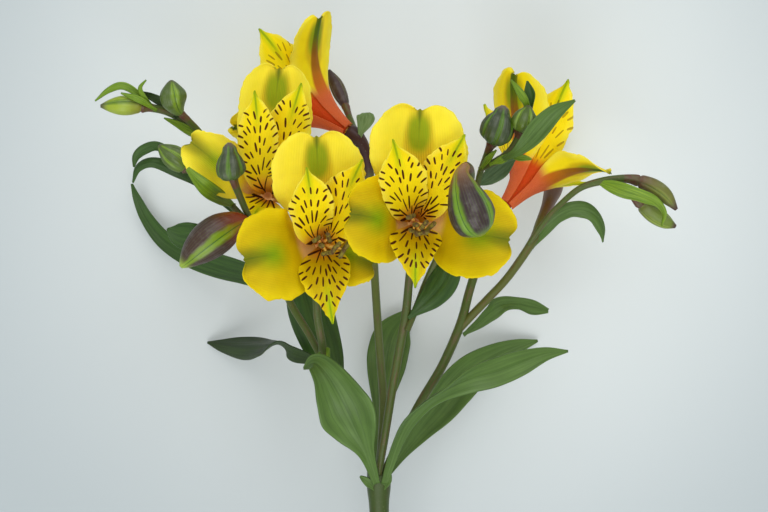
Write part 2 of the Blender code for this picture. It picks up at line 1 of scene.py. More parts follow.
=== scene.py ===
"""Looks of a cut stem of yellow alstroemeria, lying on a pale table and seen from straight above.

Tables are in millimetres, as the stem is seen from SIGHT_HEIGHT over the SIGHT_PLANE, and
true_place() turns them into metres in the frame. Every sheet and tube is a flat grid whose
vertices a formula moves into place, so each keeps a UV map of how far across and along it is.
"""

import math
import random

import bmesh
import bpy
from mathutils import Matrix, Vector, noise


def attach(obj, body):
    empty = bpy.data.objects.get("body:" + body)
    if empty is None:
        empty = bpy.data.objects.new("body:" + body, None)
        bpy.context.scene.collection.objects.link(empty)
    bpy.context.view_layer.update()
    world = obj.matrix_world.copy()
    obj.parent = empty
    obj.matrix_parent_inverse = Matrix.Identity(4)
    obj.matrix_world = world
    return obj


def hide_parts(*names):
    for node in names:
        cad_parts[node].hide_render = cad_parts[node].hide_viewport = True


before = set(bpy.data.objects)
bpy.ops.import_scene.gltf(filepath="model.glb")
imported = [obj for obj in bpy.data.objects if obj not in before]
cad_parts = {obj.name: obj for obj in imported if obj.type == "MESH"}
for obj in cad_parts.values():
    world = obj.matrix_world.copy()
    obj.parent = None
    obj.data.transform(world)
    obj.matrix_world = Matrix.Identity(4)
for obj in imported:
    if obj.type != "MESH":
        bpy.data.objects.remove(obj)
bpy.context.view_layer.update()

MM = 0.001

# The eye that the places were read from, and the middle of the finished box in that view
SIGHT_PLANE = 70.0
SIGHT_HEIGHT = 960.0
BOX_MIDDLE = (1.76, -66.32, 0.31)
VIEW_WIDTH = 256.0
SENSOR_WIDTH = 36.0

# The table, in metres: half of its side, how far it lies below zero, the middle of the pool of light
# painted on it, and where that painted light and the painted shade towards its edges are reached
TABLE_HALF = 4.0
TABLE_DROP = 0.0002
TABLE_LIGHT_POOL = (0.012, 0.1, 0.0)
TABLE_LIGHT_FADE = (0.04, 0.2)

# The gap between a flower's tepals and its stem, the least height over the table, and how far a
# piece starts inside what carries it
SEAT_GAP = 0.35
LOWEST = 0.25
ROOT_REACH = 1.6

# Sheets: thickness, and columns and rows of the grid
LEAF_THICK = 0.4
LEAF_GRID = (20, 90)
BRACT_GRID = (12, 40)
TEPAL_THICK = 0.28
TEPAL_GRID = (30, 110)
DASHED_GRID = (52, 130)

# Tubes: sides, and the longest step between two rings
STEM_SIDES = 20
STEM_STEP = 1.5
BUD_SIDES = 60
BUD_STEP = 0.5
STAMEN_SIDES = 16
STAMEN_STEP = 0.4

# A leaf's stations along its middle line, its least half-width, the arch of the smallest ones, and how
# much a blade waves, swells and is ribbed and keeled, as shares of its half-width
LEAF_STATIONS = 121
LEAF_NARROWEST = 0.25
BRACT_ARCH = 40
LEAF_WAVE = 0.3
LEAF_SWELL = 0.12
LEAF_RIB = 0.03
LEAF_KEEL = 0.05

# How deep a bud's neck and the seams between its folds are, as shares of its radius
BUD_NECK = 0.26
BUD_SEAM = 0.22

# How far the foot of a claw stands from the flower's axis, and how far it wraps round, in degrees
OUTER_FOOT = 2.5
INNER_FOOT = 1.5
CLAW_WRAP = 45

# Half-width along a tepal, as a share of its widest place. Outer and slim ones are a round arc from
# ROUND_FROM on
PROFILES = {
    "outer": ((0, 0.15), (0.2, 0.26), (0.32, 0.48), (0.46, 0.8), (0.62, 0.97), (0.76, 1.0)),
    "slim": ((0, 0.17), (0.2, 0.28), (0.36, 0.44), (0.58, 0.88), (0.76, 1.0)),
    "folded": (
        (0, 0.17), (0.2, 0.3), (0.4, 0.7), (0.58, 1), (0.76, 0.88), (0.9, 0.52), (0.97, 0.24), (1, 0.04),
    ),
    "inner": (
        (0, 0.18), (0.14, 0.4), (0.26, 0.68), (0.38, 0.86), (0.52, 0.94), (0.68, 1), (0.78, 0.97),
        (0.88, 0.7), (0.95, 0.32), (1, 0.03),
    ),
    "lower": (
        (0, 0.18), (0.14, 0.38), (0.28, 0.66), (0.42, 0.93), (0.54, 1), (0.66, 0.92), (0.8, 0.62),
        (0.9, 0.34), (0.96, 0.18), (1, 0.03),
    ),
}
ROUND_FROM = 0.76
ROUNDNESS = 2.05

# A tepal's limb: where it starts and how soon it is full, how deep the notch is and how wide as a share
# of the half-width, how long the points of an outer and an inner tip are and how wide either is, how
# deep the middle fold is and how wide, and how far the margin waves and is toothed
LIMB_FROM = 0.45
LIMB_RISE = 0.25
NOTCH = 2.8
NOTCH_WIDTH = 0.22
MUCRO = (0.7, 1.5)
MUCRO_WIDTH = 0.55
FOLD = 0.35
FOLD_WIDTH = 0.9
RUFFLE = 2.4
TOOTH = 0.5

# Distance between two veins of a tepal near its claw and on its limb, and where along it they spread
VEIN_PITCH = (0.42, 2.2)
FAN_PART = (0.16, 0.6)

# Dashes on an inner tepal: how many are tried, on which part of its length and of its half-width, how
# far the bare tip reaches, the gap between two in line, how far off one is still reckoned with, and
# how much they differ in length and in width
DASH_TRIES = 2200
DASH_PART = (0.17, 0.95)
DASH_WITHIN = 0.93
DASH_BARE_TIP = 6.5
DASH_GAP = 0.4
DASH_NEAR = 4.0
DASH_LENGTHS = (0.7, 1.15)
DASH_WIDTHS = (0.8, 1.15)

# The same dashes low on the tepal and high on it: how far apart two stand side by side, their
# half-lengths and half-widths, and how many degrees they lean out at the margin
DASH_APART = (1.0, 1.5)
DASH_REACH = (2.5, 1.5)
DASH_HALF = (0.28, 0.34)
DASH_LEAN = (88, 58)

# Stems, as rows of x, y, z and radius
STEMS = {
    "main_stem": (
        (2.5, -200, 3.6, 3.4), (1.5, -180, 9.4, 3.4), (0.0, -140, 21, 3.3), (-1.2, -100, 33, 3.3),
        (-1.6, -84, 38, 3.4), (-1.7, -77, 40.2, 4.1), (-1.7, -72, 41.8, 4.0),
    ),
    "ray_top": (
        (-1.7, -70.6, 40.0, 1.25), (-0.8, -62, 41, 1.4), (-0.3, -48, 42, 1.4), (-1.7, -28, 42.5, 1.4),
        (-3, -8, 41, 1.4), (-4, 12, 40, 1.4), (-4.7, 23, 41, 1.5), (-5.2, 30, 43.5, 1.9), (-6.8, 36, 46, 2.2),
        (-9.3, 39.7, 47.2, 2.7), (-11.6, 41.5, 46.5, 2.8),
    ),
    "ray_centre": (
        (-1.7, -71.9, 44.2, 1.25), (0.3, -60, 48, 1.4), (2.5, -46, 51.5, 1.5), (5, -32, 54.5, 1.5),
        (7.2, -20, 57.5, 1.5), (8.4, -8, 60, 1.4), (9.4, 2, 62, 1.4), (10.1, 8, 64.5, 1.6),
        (10.3, 10.8, 68, 2.2), (10.3, 11.3, 72, 2.9), (10.3, 11.3, 75.6, 2.9),
    ),
    "ray_right": (
        (0.5, -71.1, 42.2, 1.25), (5, -62, 43.5, 1.4), (12, -49, 46, 1.5), (19.5, -36.5, 48.5, 1.6),
        (25.4, -23, 50, 1.6), (28.4, -12, 50, 1.5), (31.4, -2, 49.5, 1.5), (33.3, 5, 49.2, 1.6),
        (35.4, 10.4, 48.5, 2.4), (38, 13.6, 47.4, 2.8), (40.2, 16.2, 46.3, 2.8),
    ),
    "ray_left": (
        (-3.9, -71.1, 42.2, 1.25), (-8, -61, 44, 1.4), (-14, -48, 46.5, 1.4), (-19.5, -37, 48.5, 1.4),
        (-20.8, -28, 51.5, 1.4), (-22.3, -19, 54, 1.4), (-22.3, -9, 56, 1.4), (-21.5, -1, 58, 1.5),
        (-20.8, 3.5, 61.5, 2.1), (-20.7, 4.3, 66, 2.9), (-20.7, 4.3, 69.6, 2.9),
    ),
    "branch_left": (
        (-19.8, -36, 48, 1.1), (-25, -26, 46, 1.3), (-31.3, -15.3, 44, 1.3), (-35.5, -3, 40, 1.3),
        (-38, 8, 38, 1.3), (-38.8, 15.5, 39, 1.4), (-38.9, 19, 42, 2.0), (-38.7, 20, 46, 2.9),
        (-38.7, 20, 51.6, 2.9),
    ),
    "branch_right": (
        (25.6, -24, 50, 1.2), (29.5, -19.6, 50.6, 1.4), (34.6, -14.3, 51, 1.4), (41.5, -6.8, 51.7, 1.4),
        (49.3, 4.5, 50.5, 1.5), (52, 11, 44, 1.6), (54.2, 16, 36.5, 2.0), (55.5, 19.4, 30.5, 2.6),
        (56.4, 21.8, 26.4, 3.1), (57.2, 24, 22.8, 2.9), (57.9, 26, 20, 1.6), (58.3, 27.2, 18.6, 0.5),
    ),
}

# Buds on their stalks, as rows of x, y, z and radius
BUDS = {
    "bud_far_left": (
        (-39.2, 14, 38.5, 1.0), (-47, 25, 42, 1.1), (-60.3, 39.7, 47, 1.2), (-70, 47, 50, 1.3),
        (-77, 49.3, 52, 1.4), (-81, 49.8, 53, 2.2), (-84.5, 50, 53.5, 3.2), (-88, 50, 54, 3.2),
        (-91.5, 50, 54, 2.1), (-94.5, 50, 54, 0.5),
    ),
    "bud_upper_left": (
        (-60.0, 39.8, 47.5, 0.9), (-62.5, 42.4, 50, 1.1), (-65.5, 45.4, 52.5, 1.2), (-67.7, 47.6, 54, 1.5),
        (-69, 49.4, 55, 2.8), (-70, 51.8, 56, 4.3), (-70.5, 54.6, 56.6, 4.2), (-70.8, 57.4, 57, 2.0),
        (-70.9, 58.6, 57, 0.5),
    ),
    "bud_left": (
        (-42, 7.2, 65.5, 0.9), (-49, 15, 61, 1.1), (-57, 22.5, 59, 1.2), (-63.5, 28, 59.5, 1.4),
        (-66, 30, 60, 3.0), (-68.6, 32, 60.5, 4.0), (-71.5, 34, 61, 3.6), (-74, 36, 61.5, 1.8),
        (-75, 37, 61.5, 0.5),
    ),
    "bud_front_left": (
        (-33.8, -8, 42.5, 1.0), (-37, -2, 52, 1.2), (-41.5, 6, 65, 1.1), (-45.5, 14, 76, 1.1),
        (-49.4, 23.2, 85.4, 1.3), (-50.3, 26.2, 87, 2.0), (-50.6, 27.2, 87.6, 4.1), (-50.9, 28.3, 88, 4.7),
        (-51.1, 30.3, 88.5, 4.6), (-51.3, 32.6, 89, 3.7), (-51.4, 34.6, 89, 2.5), (-51.5, 36.4, 89, 2.0),
        (-51.5, 37.8, 89, 0.6),
    ),
    "bud_large_left": (
        (-41.5, 5.2, 64, 1.0), (-44, 8.3, 70, 1.2), (-46, 11, 75.5, 1.8), (-49.5, 10.8, 79, 4.0),
        (-54, 8.5, 81, 6.0), (-58.5, 5.3, 82, 6.3), (-62.5, 1.8, 82, 5.0), (-66, -1.8, 81, 2.5),
        (-67.7, -3.6, 80.5, 0.7),
    ),
    "bud_large_right": (
        (8.3, -23.4, 58, 1.1), (11.3, -16, 57.5, 1.2), (14.6, -7.5, 57.5, 1.2), (20, 4, 63, 1.2),
        (25.4, 16, 78, 1.2), (28.6, 24.3, 94, 1.2), (28.9, 28.6, 104, 1.2), (27.3, 29.8, 109.4, 1.5),
        (25.9, 27.2, 113.6, 2.4), (26.6, 22.6, 116.4, 4.6), (28.4, 16.8, 117.6, 6.7),
        (30.2, 12.0, 117.8, 6.8), (31.8, 8.8, 117.4, 4.8), (32.7, 7.0, 117, 1.2),
    ),
    "bud_upper_right": (
        (30.2, -7, 50, 1.0), (31.3, 4, 60, 1.1), (31, 16, 72, 1.0), (31.5, 25.5, 80, 1.0),
        (34.6, 34.6, 85, 1.2), (36.0, 37.8, 87, 2.1), (36.6, 39.2, 87.8, 4.4), (37.2, 40.8, 88.4, 5.2),
        (38.1, 43.4, 88.7, 5.2), (38.8, 45.8, 89, 4.2), (39.2, 47.4, 89, 2.8), (39.6, 49, 89, 2.1),
        (39.8, 50.2, 89, 0.6),
    ),
    "bud_mid_right": (
        (33.3, 29.5, 83.5, 1.0), (37.5, 31.6, 86, 1.3), (41.5, 34.6, 87, 1.1), (44.6, 39.2, 88, 1.3),
        (45.6, 41.3, 88, 3.0), (46.6, 44, 88.5, 4.4), (47.4, 46.8, 89, 3.8), (47.9, 48.6, 89, 2.2),
        (48.3, 50.2, 89, 0.6),
    ),
    "bud_far_right_upper": (
        (49, 5.0, 52, 0.9), (54, 12, 54.4, 1.0), (59, 17.4, 55, 1.0), (65.6, 22.7, 55.5, 1.1),
        (73, 25, 56, 1.3), (80, 25.8, 56, 1.4), (85, 25, 55.5, 2.2), (90, 22.8, 55, 2.9),
        (94, 19.8, 54.5, 2.5), (97.5, 15.5, 54, 0.6),
    ),
    "bud_far_right_lower": (
        (78.5, 25.3, 54.6, 0.8), (82, 21.5, 52.5, 1.3), (86, 17.2, 51, 2.3), (90, 14, 50, 3.0),
        (94, 11.4, 49.5, 2.4), (97.2, 9.8, 49, 0.6),
    ),
    "bud_top": (
        (-7.4, 37.2, 46.2, 0.9), (-9.6, 41.6, 39.5, 1.1), (-11.6, 46.5, 33.5, 1.1), (-13, 50.4, 30.5, 1.6),
        (-14.6, 54, 28.6, 2.4), (-16.4, 58, 27.4, 2.2), (-18.4, 62, 26.6, 0.5),
    ),
}

# Leaves: arch of the section in degrees, and rows of x, y, z, half-width and roll in degrees
LEAVES = {
    "leaf_front_left": (
        35,
        ((-2.9, -74.5, 45.6, 1.4, 0), (-6, -65, 51, 3.2, -10), (-9.3, -58, 55, 8.0, -15),
         (-12, -52, 58, 10.2, -12), (-15.3, -45.7, 60, 8.4, -6), (-19, -39.5, 60.5, 5.6, 5),
         (-23, -35.6, 58.5, 3.6, 25), (-26.7, -37.5, 55.5, 0.5, 40)),
    ),
    "leaf_low_left": (
        30,
        ((-20.3, -36.2, 46.8, 0.9, -10), (-25, -34.1, 42, 2.0, -25), (-30.8, -32, 37.5, 3.3, -50),
         (-34.8, -29.6, 32, 3.6, -85), (-40.5, -30, 23, 4.6, -130), (-47.7, -30.3, 13.5, 4.4, -160),
         (-54, -29.8, 6, 2.6, -175), (-58.8, -28.8, 1.6, 0.4, -180)),
    ),
    "leaf_behind_left": (
        -30,
        ((-12.5, -51, 45, 1.2, 0), (-16.5, -43, 40, 3.6, 0), (-19.5, -33, 36.5, 6.4, 0),
         (-23.5, -21.7, 34, 8.0, 0), (-26, -13, 32, 7.4, 0), (-28.5, -3, 30, 3.4, 0), (-29.5, 2, 29, 0.5, 0)),
    ),
    "leaf_back": (
        25,
        ((-2.4, -73.5, 37.8, 0.9, 0), (-2.2, -64, 31, 1.2, 0), (-1.2, -53, 22, 2.4, 0), (-0.4, -46, 15, 4.6, 0),
         (0.6, -38, 9, 7.0, 0), (1.6, -31, 5, 7.5, 0), (3.6, -25, 3, 6.2, 0), (8.7, -17.7, 2.5, 0.6, 0)),
    ),
    "leaf_front_right": (
        30,
        ((0.4, -74.5, 45.4, 1.2, 20), (4.3, -62.5, 52, 2.6, 45), (8, -54.7, 56, 4.0, 58),
         (13.7, -49, 58.5, 4.8, 68), (20.3, -44.8, 59, 5.3, 66), (28.7, -41, 58.5, 5.6, 40),
         (37, -38.7, 57.5, 5.3, 15), (45.3, -35.7, 56, 4.5, 5), (53.7, -32.7, 53.5, 2.5, 0),
         (61.3, -31.7, 50.5, 0.4, 0)),
    ),
    "leaf_behind_right": (
        28,
        ((0.8, -73.5, 38.6, 0.9, 0), (6, -66.3, 33, 1.8, 0), (12, -58.3, 27, 4.2, 0), (18, -51.2, 21, 6.2, 0),
         (23.4, -44.5, 15.5, 6.8, 0), (29.5, -38.4, 10.5, 6.4, 0), (37.4, -33.4, 6, 4.8, 0),
         (44.3, -30.2, 3.2, 2.8, 0), (51.2, -28.2, 1.6, 0.4, 0)),
    ),
    "leaf_middle": (
        -35,
        ((9.2, -19.8, 59.4, 0.8, 0), (12.3, -17.0, 61, 2.6, 0), (16.3, -13.3, 61.5, 4.4, 0),
         (19.7, -8.8, 61, 5.2, 0), (22, -3.7, 60, 4.2, 0), (23.7, 2.5, 58, 0.5, 0)),
    ),
    "leaf_low_right": (
        30,
        ((27.6, -25.3, 49.8, 0.8, 30), (31.3, -22.4, 48, 2.2, 40), (35, -19.0, 46.5, 3.2, 35),
         (39.3, -16.3, 44, 3.0, -20), (44.3, -16, 41, 2.4, -35), (49.7, -17.3, 38, 2.6, -10),
         (54.7, -18.3, 35, 0.8, 0)),
    ),
    "leaf_right": (
        -25,
        ((49.9, 4.0, 50.2, 0.9, 0), (53.7, 9.0, 49.5, 2.2, 10), (58, 13, 51, 2.8, 30),
         (62.7, 15.3, 51.5, 2.8, 20), (67.3, 15.3, 51, 2.8, -10), (70.7, 13, 50, 2.5, -30),
         (72.7, 8.7, 48, 2.0, -45), (73, 4.7, 46, 0.4, -60)),
    ),
    "leaf_far_right": (
        -30,
        ((71.6, 24.6, 56.4, 0.6, 0), (75.3, 23.4, 58.6, 2.0, 10), (80.3, 21.6, 60.4, 2.7, 20),
         (85.3, 20, 60.5, 2.5, 30), (90.3, 17.8, 59.6, 2.0, 40), (93, 14.3, 57.5, 1.4, 60),
         (92.5, 10, 56, 0.4, 70)),
    ),
    "leaf_long_left": (
        30,
        ((-31.8, -14.3, 43.5, 0.9, 0), (-38, -9.6, 36, 2.6, 0), (-46.3, -6, 27, 4.0, 5),
         (-55.3, -3.4, 18, 4.5, 10), (-64.7, 0, 10, 4.2, 10), (-73, 5, 5, 3.2, 5), (-78.7, 12, 3.5, 2.5, 0),
         (-82, 18.7, 5, 1.7, -10), (-84, 24, 8, 0.4, -20)),
    ),
    "leaf_left": (
        -30,
        ((-48, 13.2, 61.4, 0.7, 0), (-54, 18.0, 58.6, 0.9, 10), (-62, 24.2, 55, 1.2, 10),
         (-69, 28.4, 54, 2.2, 0), (-77, 31.3, 55, 1.8, 10), (-82, 29.5, 53.5, 1.6, 30),
         (-83.7, 24.5, 51, 0.4, 40)),
    ),
    "leaf_upper_right": (
        30,
        ((40, 32.4, 88.6, 0.8, 0), (43.7, 34.3, 91.8, 1.5, -10), (48, 38, 93.6, 2.9, -15),
         (52.3, 42.7, 94, 3.7, -20), (57, 47.7, 93, 2.7, -10), (63.6, 51.9, 90, 0.4, 0)),
    ),
    "leaf_grey_right": (
        30,
        ((31.6, 24, 78, 0.8, 0), (34.6, 26, 76.6, 2.6, 10), (38.7, 29.3, 76, 3.4, 15), (43.6, 32.4, 75, 0.5, 20)),
    ),
}
# The deep and dark tones are painted shade, for leaves that lie behind or under others
LEAF_TONES = {
    "leaf_low_left": "dark", "leaf_behind_left": "deep", "leaf_long_left": "deep", "leaf_left": "deep",
    "leaf_grey_right": "grey", "leaf_far_right": "bright", "leaf_middle": "deep",
}

# Leaflets and bracts too small for the CAD: tone, and rows of x, y, z and half-width
# Bracts in the deep and dark tones wear painted shade
BRACTS = {
    "leaflet_far_left": ("bright", ((-77.5, 49.8, 53, 0.6), (-81, 53.2, 54, 1.1), (-86.7, 56.7, 54.5, 1.4),
                                    (-91.7, 55.3, 54, 1.0), (-96.3, 51.7, 53, 0.2))),
    "curl_far_left": ("bright", ((-77.5, 50, 53, 0.5), (-80, 53, 55.5, 0.8), (-81.3, 56, 56.5, 0.7),
                                 (-79.3, 58.7, 57, 0.2))),
    "bract_far_left": ("bright", ((-77, 49.3, 53.5, 0.6), (-82, 52.3, 56.5, 1.2), (-87.7, 54.3, 56.5, 0.2))),
    "leaf_under_upper_left": ("dark", ((-70, 47, 51, 0.6), (-73.5, 50.8, 50, 1.5), (-77.3, 53, 51, 1.4),
                                       (-81, 54.7, 53, 0.3))),
    "leaf_pale_left": ("bright", ((-60.3, 39.7, 47.8, 0.6), (-64, 41.2, 49.4, 1.5), (-68.5, 43.8, 50.8, 1.3),
                                  (-73.3, 46, 52.4, 0.2))),
    "leaf_curled_left": ("deep", ((-64.5, 28.8, 57.8, 0.6), (-70, 33.5, 55.2, 1.2), (-75.5, 36.6, 56.5, 1.6),
                                  (-79.5, 35.7, 57.5, 1.8), (-82.5, 33.3, 57, 1.4), (-83.4, 29.7, 55.5, 0.3))),
    "leaf_folded_left": ("bright", ((-50.5, 17.2, 61, 0.8), (-54.5, 19.4, 70, 2.4), (-59.5, 23.0, 78, 2.8),
                                    (-65.6, 29.2, 80, 0.8))),
    "leaf_behind_bud_left": ("deep", ((-44.6, 8.2, 68.6, 0.6), (-50, 7.4, 70, 1.6), (-57, 6.8, 70.5, 3.4),
                                      (-64, 6.4, 69.5, 5.0), (-69, 7.4, 68, 3.8), (-72.3, 9, 67, 0.4))),
    "bract_upper_right": ("bright", ((32.6, 29.5, 84, 0.6), (34.8, 32.5, 86.8, 1.1), (37.5, 35.3, 88, 0.2))),
    "bract_mid_right": ("bright", ((36.5, 31, 86.8, 0.6), (39.5, 32.2, 88.3, 1.3), (43, 34.2, 89, 0.3))),
    "leaflet_mid_right": ("bright", ((41.2, 34.2, 86.4, 0.5), (44.5, 33, 87.8, 1.2), (47.5, 32.6, 88.2, 0.9),
                                     (49.2, 32.2, 88, 0.2))),
    "bract_long_right": ("bright", ((44.6, 39.2, 86.8, 0.5), (47, 46, 83.5, 0.8), (47.6, 50, 86.5, 1.0),
                                    (45.7, 54, 88.5, 1.4), (42.3, 58.7, 90, 0.2))),
    "bract_short_right": ("deep", ((44.8, 40, 86.6, 0.5), (47.6, 46, 83, 0.9), (48.6, 51, 85.5, 1.3),
                                   (48.4, 54.5, 87, 1.9), (47.7, 58.3, 88.5, 0.3))),
    "leaf_top_round": ("pale", ((-8.4, 37.5, 48.4, 0.4), (-7.8, 41, 49.5, 1.0), (-6.6, 44.4, 50, 2.8),
                                (-6.0, 46.6, 50.4, 3.3), (-6.0, 47.8, 50.6, 1.4))),
    "node_flap_left": ("green", ((-3, -77.5, 43.4, 0.9), (-5.6, -75.2, 45.4, 1.5), (-8, -73.4, 46, 0.3))),
    "node_flap_right": ("green", ((-0.4, -77.5, 43.4, 0.9), (1.4, -74.6, 45.2, 1.3), (1.8, -71.4, 46, 0.3))),
    "leaf_low_left_flap": ("bright", ((-20.6, -37, 48.4, 0.8), (-20, -33.4, 50.4, 2.4),
                                      (-18.4, -30.6, 50.8, 0.5))),
}

# Flowers: where the tepals are seated and which way the flower faces. Each tepal is its profile, its
# tip as x, y, z, how far its foot stands turned round the axis from its tip, the leans of its foot and
# its tip from the axis, its widest half-width, the arch of its section and its roll, angles in degrees
FLOWERS = {
    "centre": {
        "seat": (10.3, 11.3, 76.0), "faces": (0, 0, 1),
        "outer_top": ("outer", (12, 48.4, 100), 0, 18, 95, 16.0, 18, 0),
        "outer_left": ("outer", (-10.8, 14.0, 106), 30, 18, 82, 14.4, 18, 0),
        "outer_right": ("outer", (41.4, 5.5, 105), -20, 20, 92, 14.4, 18, 0),
        "inner_left": ("inner", (3.4, 37.4, 116), 22, 8, 48, 7.9, 25, 0),
        "inner_right": ("inner", (26.2, 39.2, 108), -18, 8, 60, 7.2, 25, 0),
        "inner_bottom": ("lower", (10.4, -9.2, 108), 0, 10, 88, 8.6, 20, 0),
    },
    "front_left": {
        "seat": (-20.7, 4.3, 70.0), "faces": (0, 0, 1),
        "outer_top": ("outer", (-22.5, 39.4, 94), 0, 18, 92, 15.4, 18, 0),
        "outer_left": ("outer", (-46.2, -1.2, 101), 22, 18, 85, 15.4, 18, 0),
        "outer_right": ("outer", (-4.2, -2.2, 91), -10, 22, 85, 10.2, 18, 0),
        "inner_left": ("inner", (-25.6, 28.2, 111), 42, 8, 44, 7.4, 25, 0),
        "inner_right": ("inner", (-7.8, 30.8, 104), -38, 8, 56, 7.6, 25, 0),
        "inner_bottom": ("lower", (-17.3, -21.2, 100), 0, 10, 88, 8.7, 20, 0),
    },
    "back_left": {
        "seat": (-38.7, 20.0, 52.0), "faces": (0, 0, 1),
        "outer_top": ("outer", (-35, 62.0, 74), 0, 18, 92, 12.6, 18, 0),
        "outer_left": ("outer", (-64, 37.6, 76), 30, 18, 88, 9.0, 18, -10),
        "outer_right": ("outer", (-22, 29, 73), -40, 18, 70, 9.0, 18, 0),
        "inner_left": ("inner", (-43.0, 53.6, 90), 24, 8, 58, 6.8, 25, 0),
        "inner_right": ("inner", (-28, 56.2, 84), -46, 8, 70, 7.4, 25, 0),
        "inner_bottom": ("lower", (-45, 11, 69), 10, 10, 88, 8.6, 20, 0),
    },
    "top": {
        "seat": (-11.9, 41.8, 46.4), "faces": (-0.74, 0.58, -0.34),
        "outer_right": ("slim", (-21.6, 79.0, 52), -8, 8, 80, 11.6, 22, 0),
        "outer_left": ("slim", (-49.7, 43, 50), 0, 14, 55, 11.0, 12, 0),
        "outer_under": ("slim", (-33, 58, 0.6), 0, 14, 75, 12.0, 30, 0),
        "inner_tepals": (
            ("inner", (-40.9, 74.7, 56), -20, 10, 35, 7.5, 32, 0),
            ("inner", (-21.6, 65.1, 31), 0, 10, 40, 6.5, 35, 0),
            ("inner", (-37.9, 39.9, 29), 0, 10, 45, 6.5, 35, 0),
        ),
    },
    "right": {
        "seat": (40.5, 16.6, 46.2), "faces": (0.58, 0.69, -0.43),
        "outer_left": ("slim", (43.4, 60.2, 57), -14, 8, 52, 13.2, 38, 0),
        "outer_right": ("folded", (75.3, 28.0, 55), 0, 14, 92, 10.0, 34, 42),
        "outer_under": ("slim", (54, 35, 0.6), 0, 14, 75, 9.0, 30, 0),
        "inner_tepals": (
            ("inner", (61, 57.6, 52), 18, 10, 40, 7.5, 35, 0),
            ("inner", (34, 49.5, 28), 0, 10, 40, 6.5, 35, 0),
            ("inner", (66, 24.5, 36), 0, 10, 40, 5.5, 35, 0),
        ),
    },
}

# Anthers of the two flowers that show them, each as how far it stands right, up and along the axis
STAMENS = {
    "centre": (
        (-1.2, 1.9, 34), (0.2, -0.9, 33), (2.9, -1.2, 35), (-0.5, -3.1, 31), (2.0, -3.8, 33), (4.6, -2.4, 32),
    ),
    "front_left": (
        (-0.2, -0.8, 33), (4.2, -2.0, 34), (7.4, -2.4, 33), (1.6, -3.4, 31), (-1.6, 1.4, 32), (2.4, 1.6, 31),
    ),
}

# Radius of a filament and of an anther
FILAMENT = 0.4
ANTHER = 0.85

# Where each bud's ovary and its tepals start, as rows of its table, how far it is turned in degrees,
# and how many folds it shows
BUD_HEADS = {
    "bud_far_left": (4, 5, 20, 3),
    "bud_upper_left": (2, 3, 60, 3),
    "bud_left": (3, 4, 40, 6),
    "bud_front_left": (4, 5, 20, 6),
    "bud_large_left": (1, 2, 15, 3),
    "bud_large_right": (6, 7, 45, 4),
    "bud_upper_right": (4, 5, 0, 6),
    "bud_mid_right": (3, 4, 30, 6),
    "bud_far_right_upper": (5, 6, 50, 3),
    "bud_far_right_lower": (1, 2, 10, 3),
    "bud_top": (2, 3, 0, 3),
}


def shade(red, green, blue):
    """The colour that shows as these values of 0 to 255."""
    return tuple((part / 255 / 12.92) if part < 11 else ((part / 255 + 0.055) / 1.055) ** 2.4
                 for part in (red, green, blue))


YELLOW = shade(255, 219, 12)
# The top outer tepal and the back left flower's outer ones wear this lighter yellow as painted light
PAINTED_LIGHT_YELLOW = shade(255, 224, 52)
PALE_YELLOW = shade(255, 226, 66)
DEEP_YELLOW = shade(238, 196, 2)
# Side and lower tepals wear this darker gold and its margin as painted shade, where less light falls
PAINTED_SHADE_GOLD = shade(190, 162, 0)
PAINTED_SHADE_GOLD_MARGIN = shade(222, 190, 2)
ORANGE = shade(255, 182, 56)
SALMON = shade(255, 198, 132)
CLAW_RED = shade(206, 66, 20)
BAND_BROWN = shade(128, 66, 14)
TIP_GREEN = shade(178, 196, 6)
MID_GREEN = shade(104, 146, 6)
DARK_GREEN = shade(46, 88, 10)
DASH_BROWN = shade(58, 24, 8)
# Olive brown beside the green tip of an outer tepal is painted shade of its folded middle
PAINTED_FOLD_SHADE = shade(164, 132, 6)

# Leaves by tone: dark and light ground, and veins
# deep and dark are darker copies of the green, painted shade for shadowed leaves
LEAF_COLOURS = {
    "green": (shade(70, 98, 34), shade(88, 118, 50), shade(52, 82, 26)),
    "deep": (shade(42, 72, 18), shade(62, 94, 32), shade(32, 58, 14)),
    "dark": (shade(34, 54, 10), shade(50, 72, 20), shade(26, 42, 8)),
    "grey": (shade(70, 96, 54), shade(94, 120, 76), shade(56, 80, 42)),
    "bright": (shade(84, 120, 16), shade(132, 160, 36), shade(70, 102, 14)),
    "pale": (shade(96, 124, 70), shade(128, 152, 100), shade(80, 108, 58)),
}

# Buds: the colours of their folds, the seams between them, their tips and their bases
GREEN_BUD = (shade(72, 92, 28), shade(116, 146, 22), shade(84, 84, 52), shade(96, 120, 28))
GREY_BUD = (shade(52, 62, 36), shade(82, 116, 18), shade(104, 90, 78), shade(66, 90, 24))
BUD_COLOURS = {
    "bud_far_left": (shade(150, 168, 36), shade(106, 134, 20), shade(84, 84, 42), shade(130, 130, 44)),
    "bud_upper_left": GREEN_BUD,
    "bud_left": GREEN_BUD,
    "bud_front_left": GREY_BUD,
    "bud_large_left": (shade(58, 32, 24), shade(112, 140, 14), shade(160, 186, 60), shade(150, 52, 20)),
    # The pale brown-pink base of bud_large_right is partly its own colour and partly a painted gloss highlight
    "bud_large_right": (shade(48, 28, 30), shade(104, 142, 14), shade(110, 142, 44), shade(170, 116, 70)),
    "bud_upper_right": GREY_BUD,
    "bud_mid_right": GREEN_BUD,
    "bud_far_right_upper": (shade(104, 106, 32), shade(122, 132, 36), shade(74, 48, 36), shade(98, 66, 40)),
    "bud_far_right_lower": (shade(104, 124, 32), shade(136, 154, 40), shade(74, 48, 36), shade(104, 112, 36)),
    "bud_top": (shade(60, 34, 32), shade(80, 66, 26), shade(52, 30, 30), shade(58, 34, 32)),
}

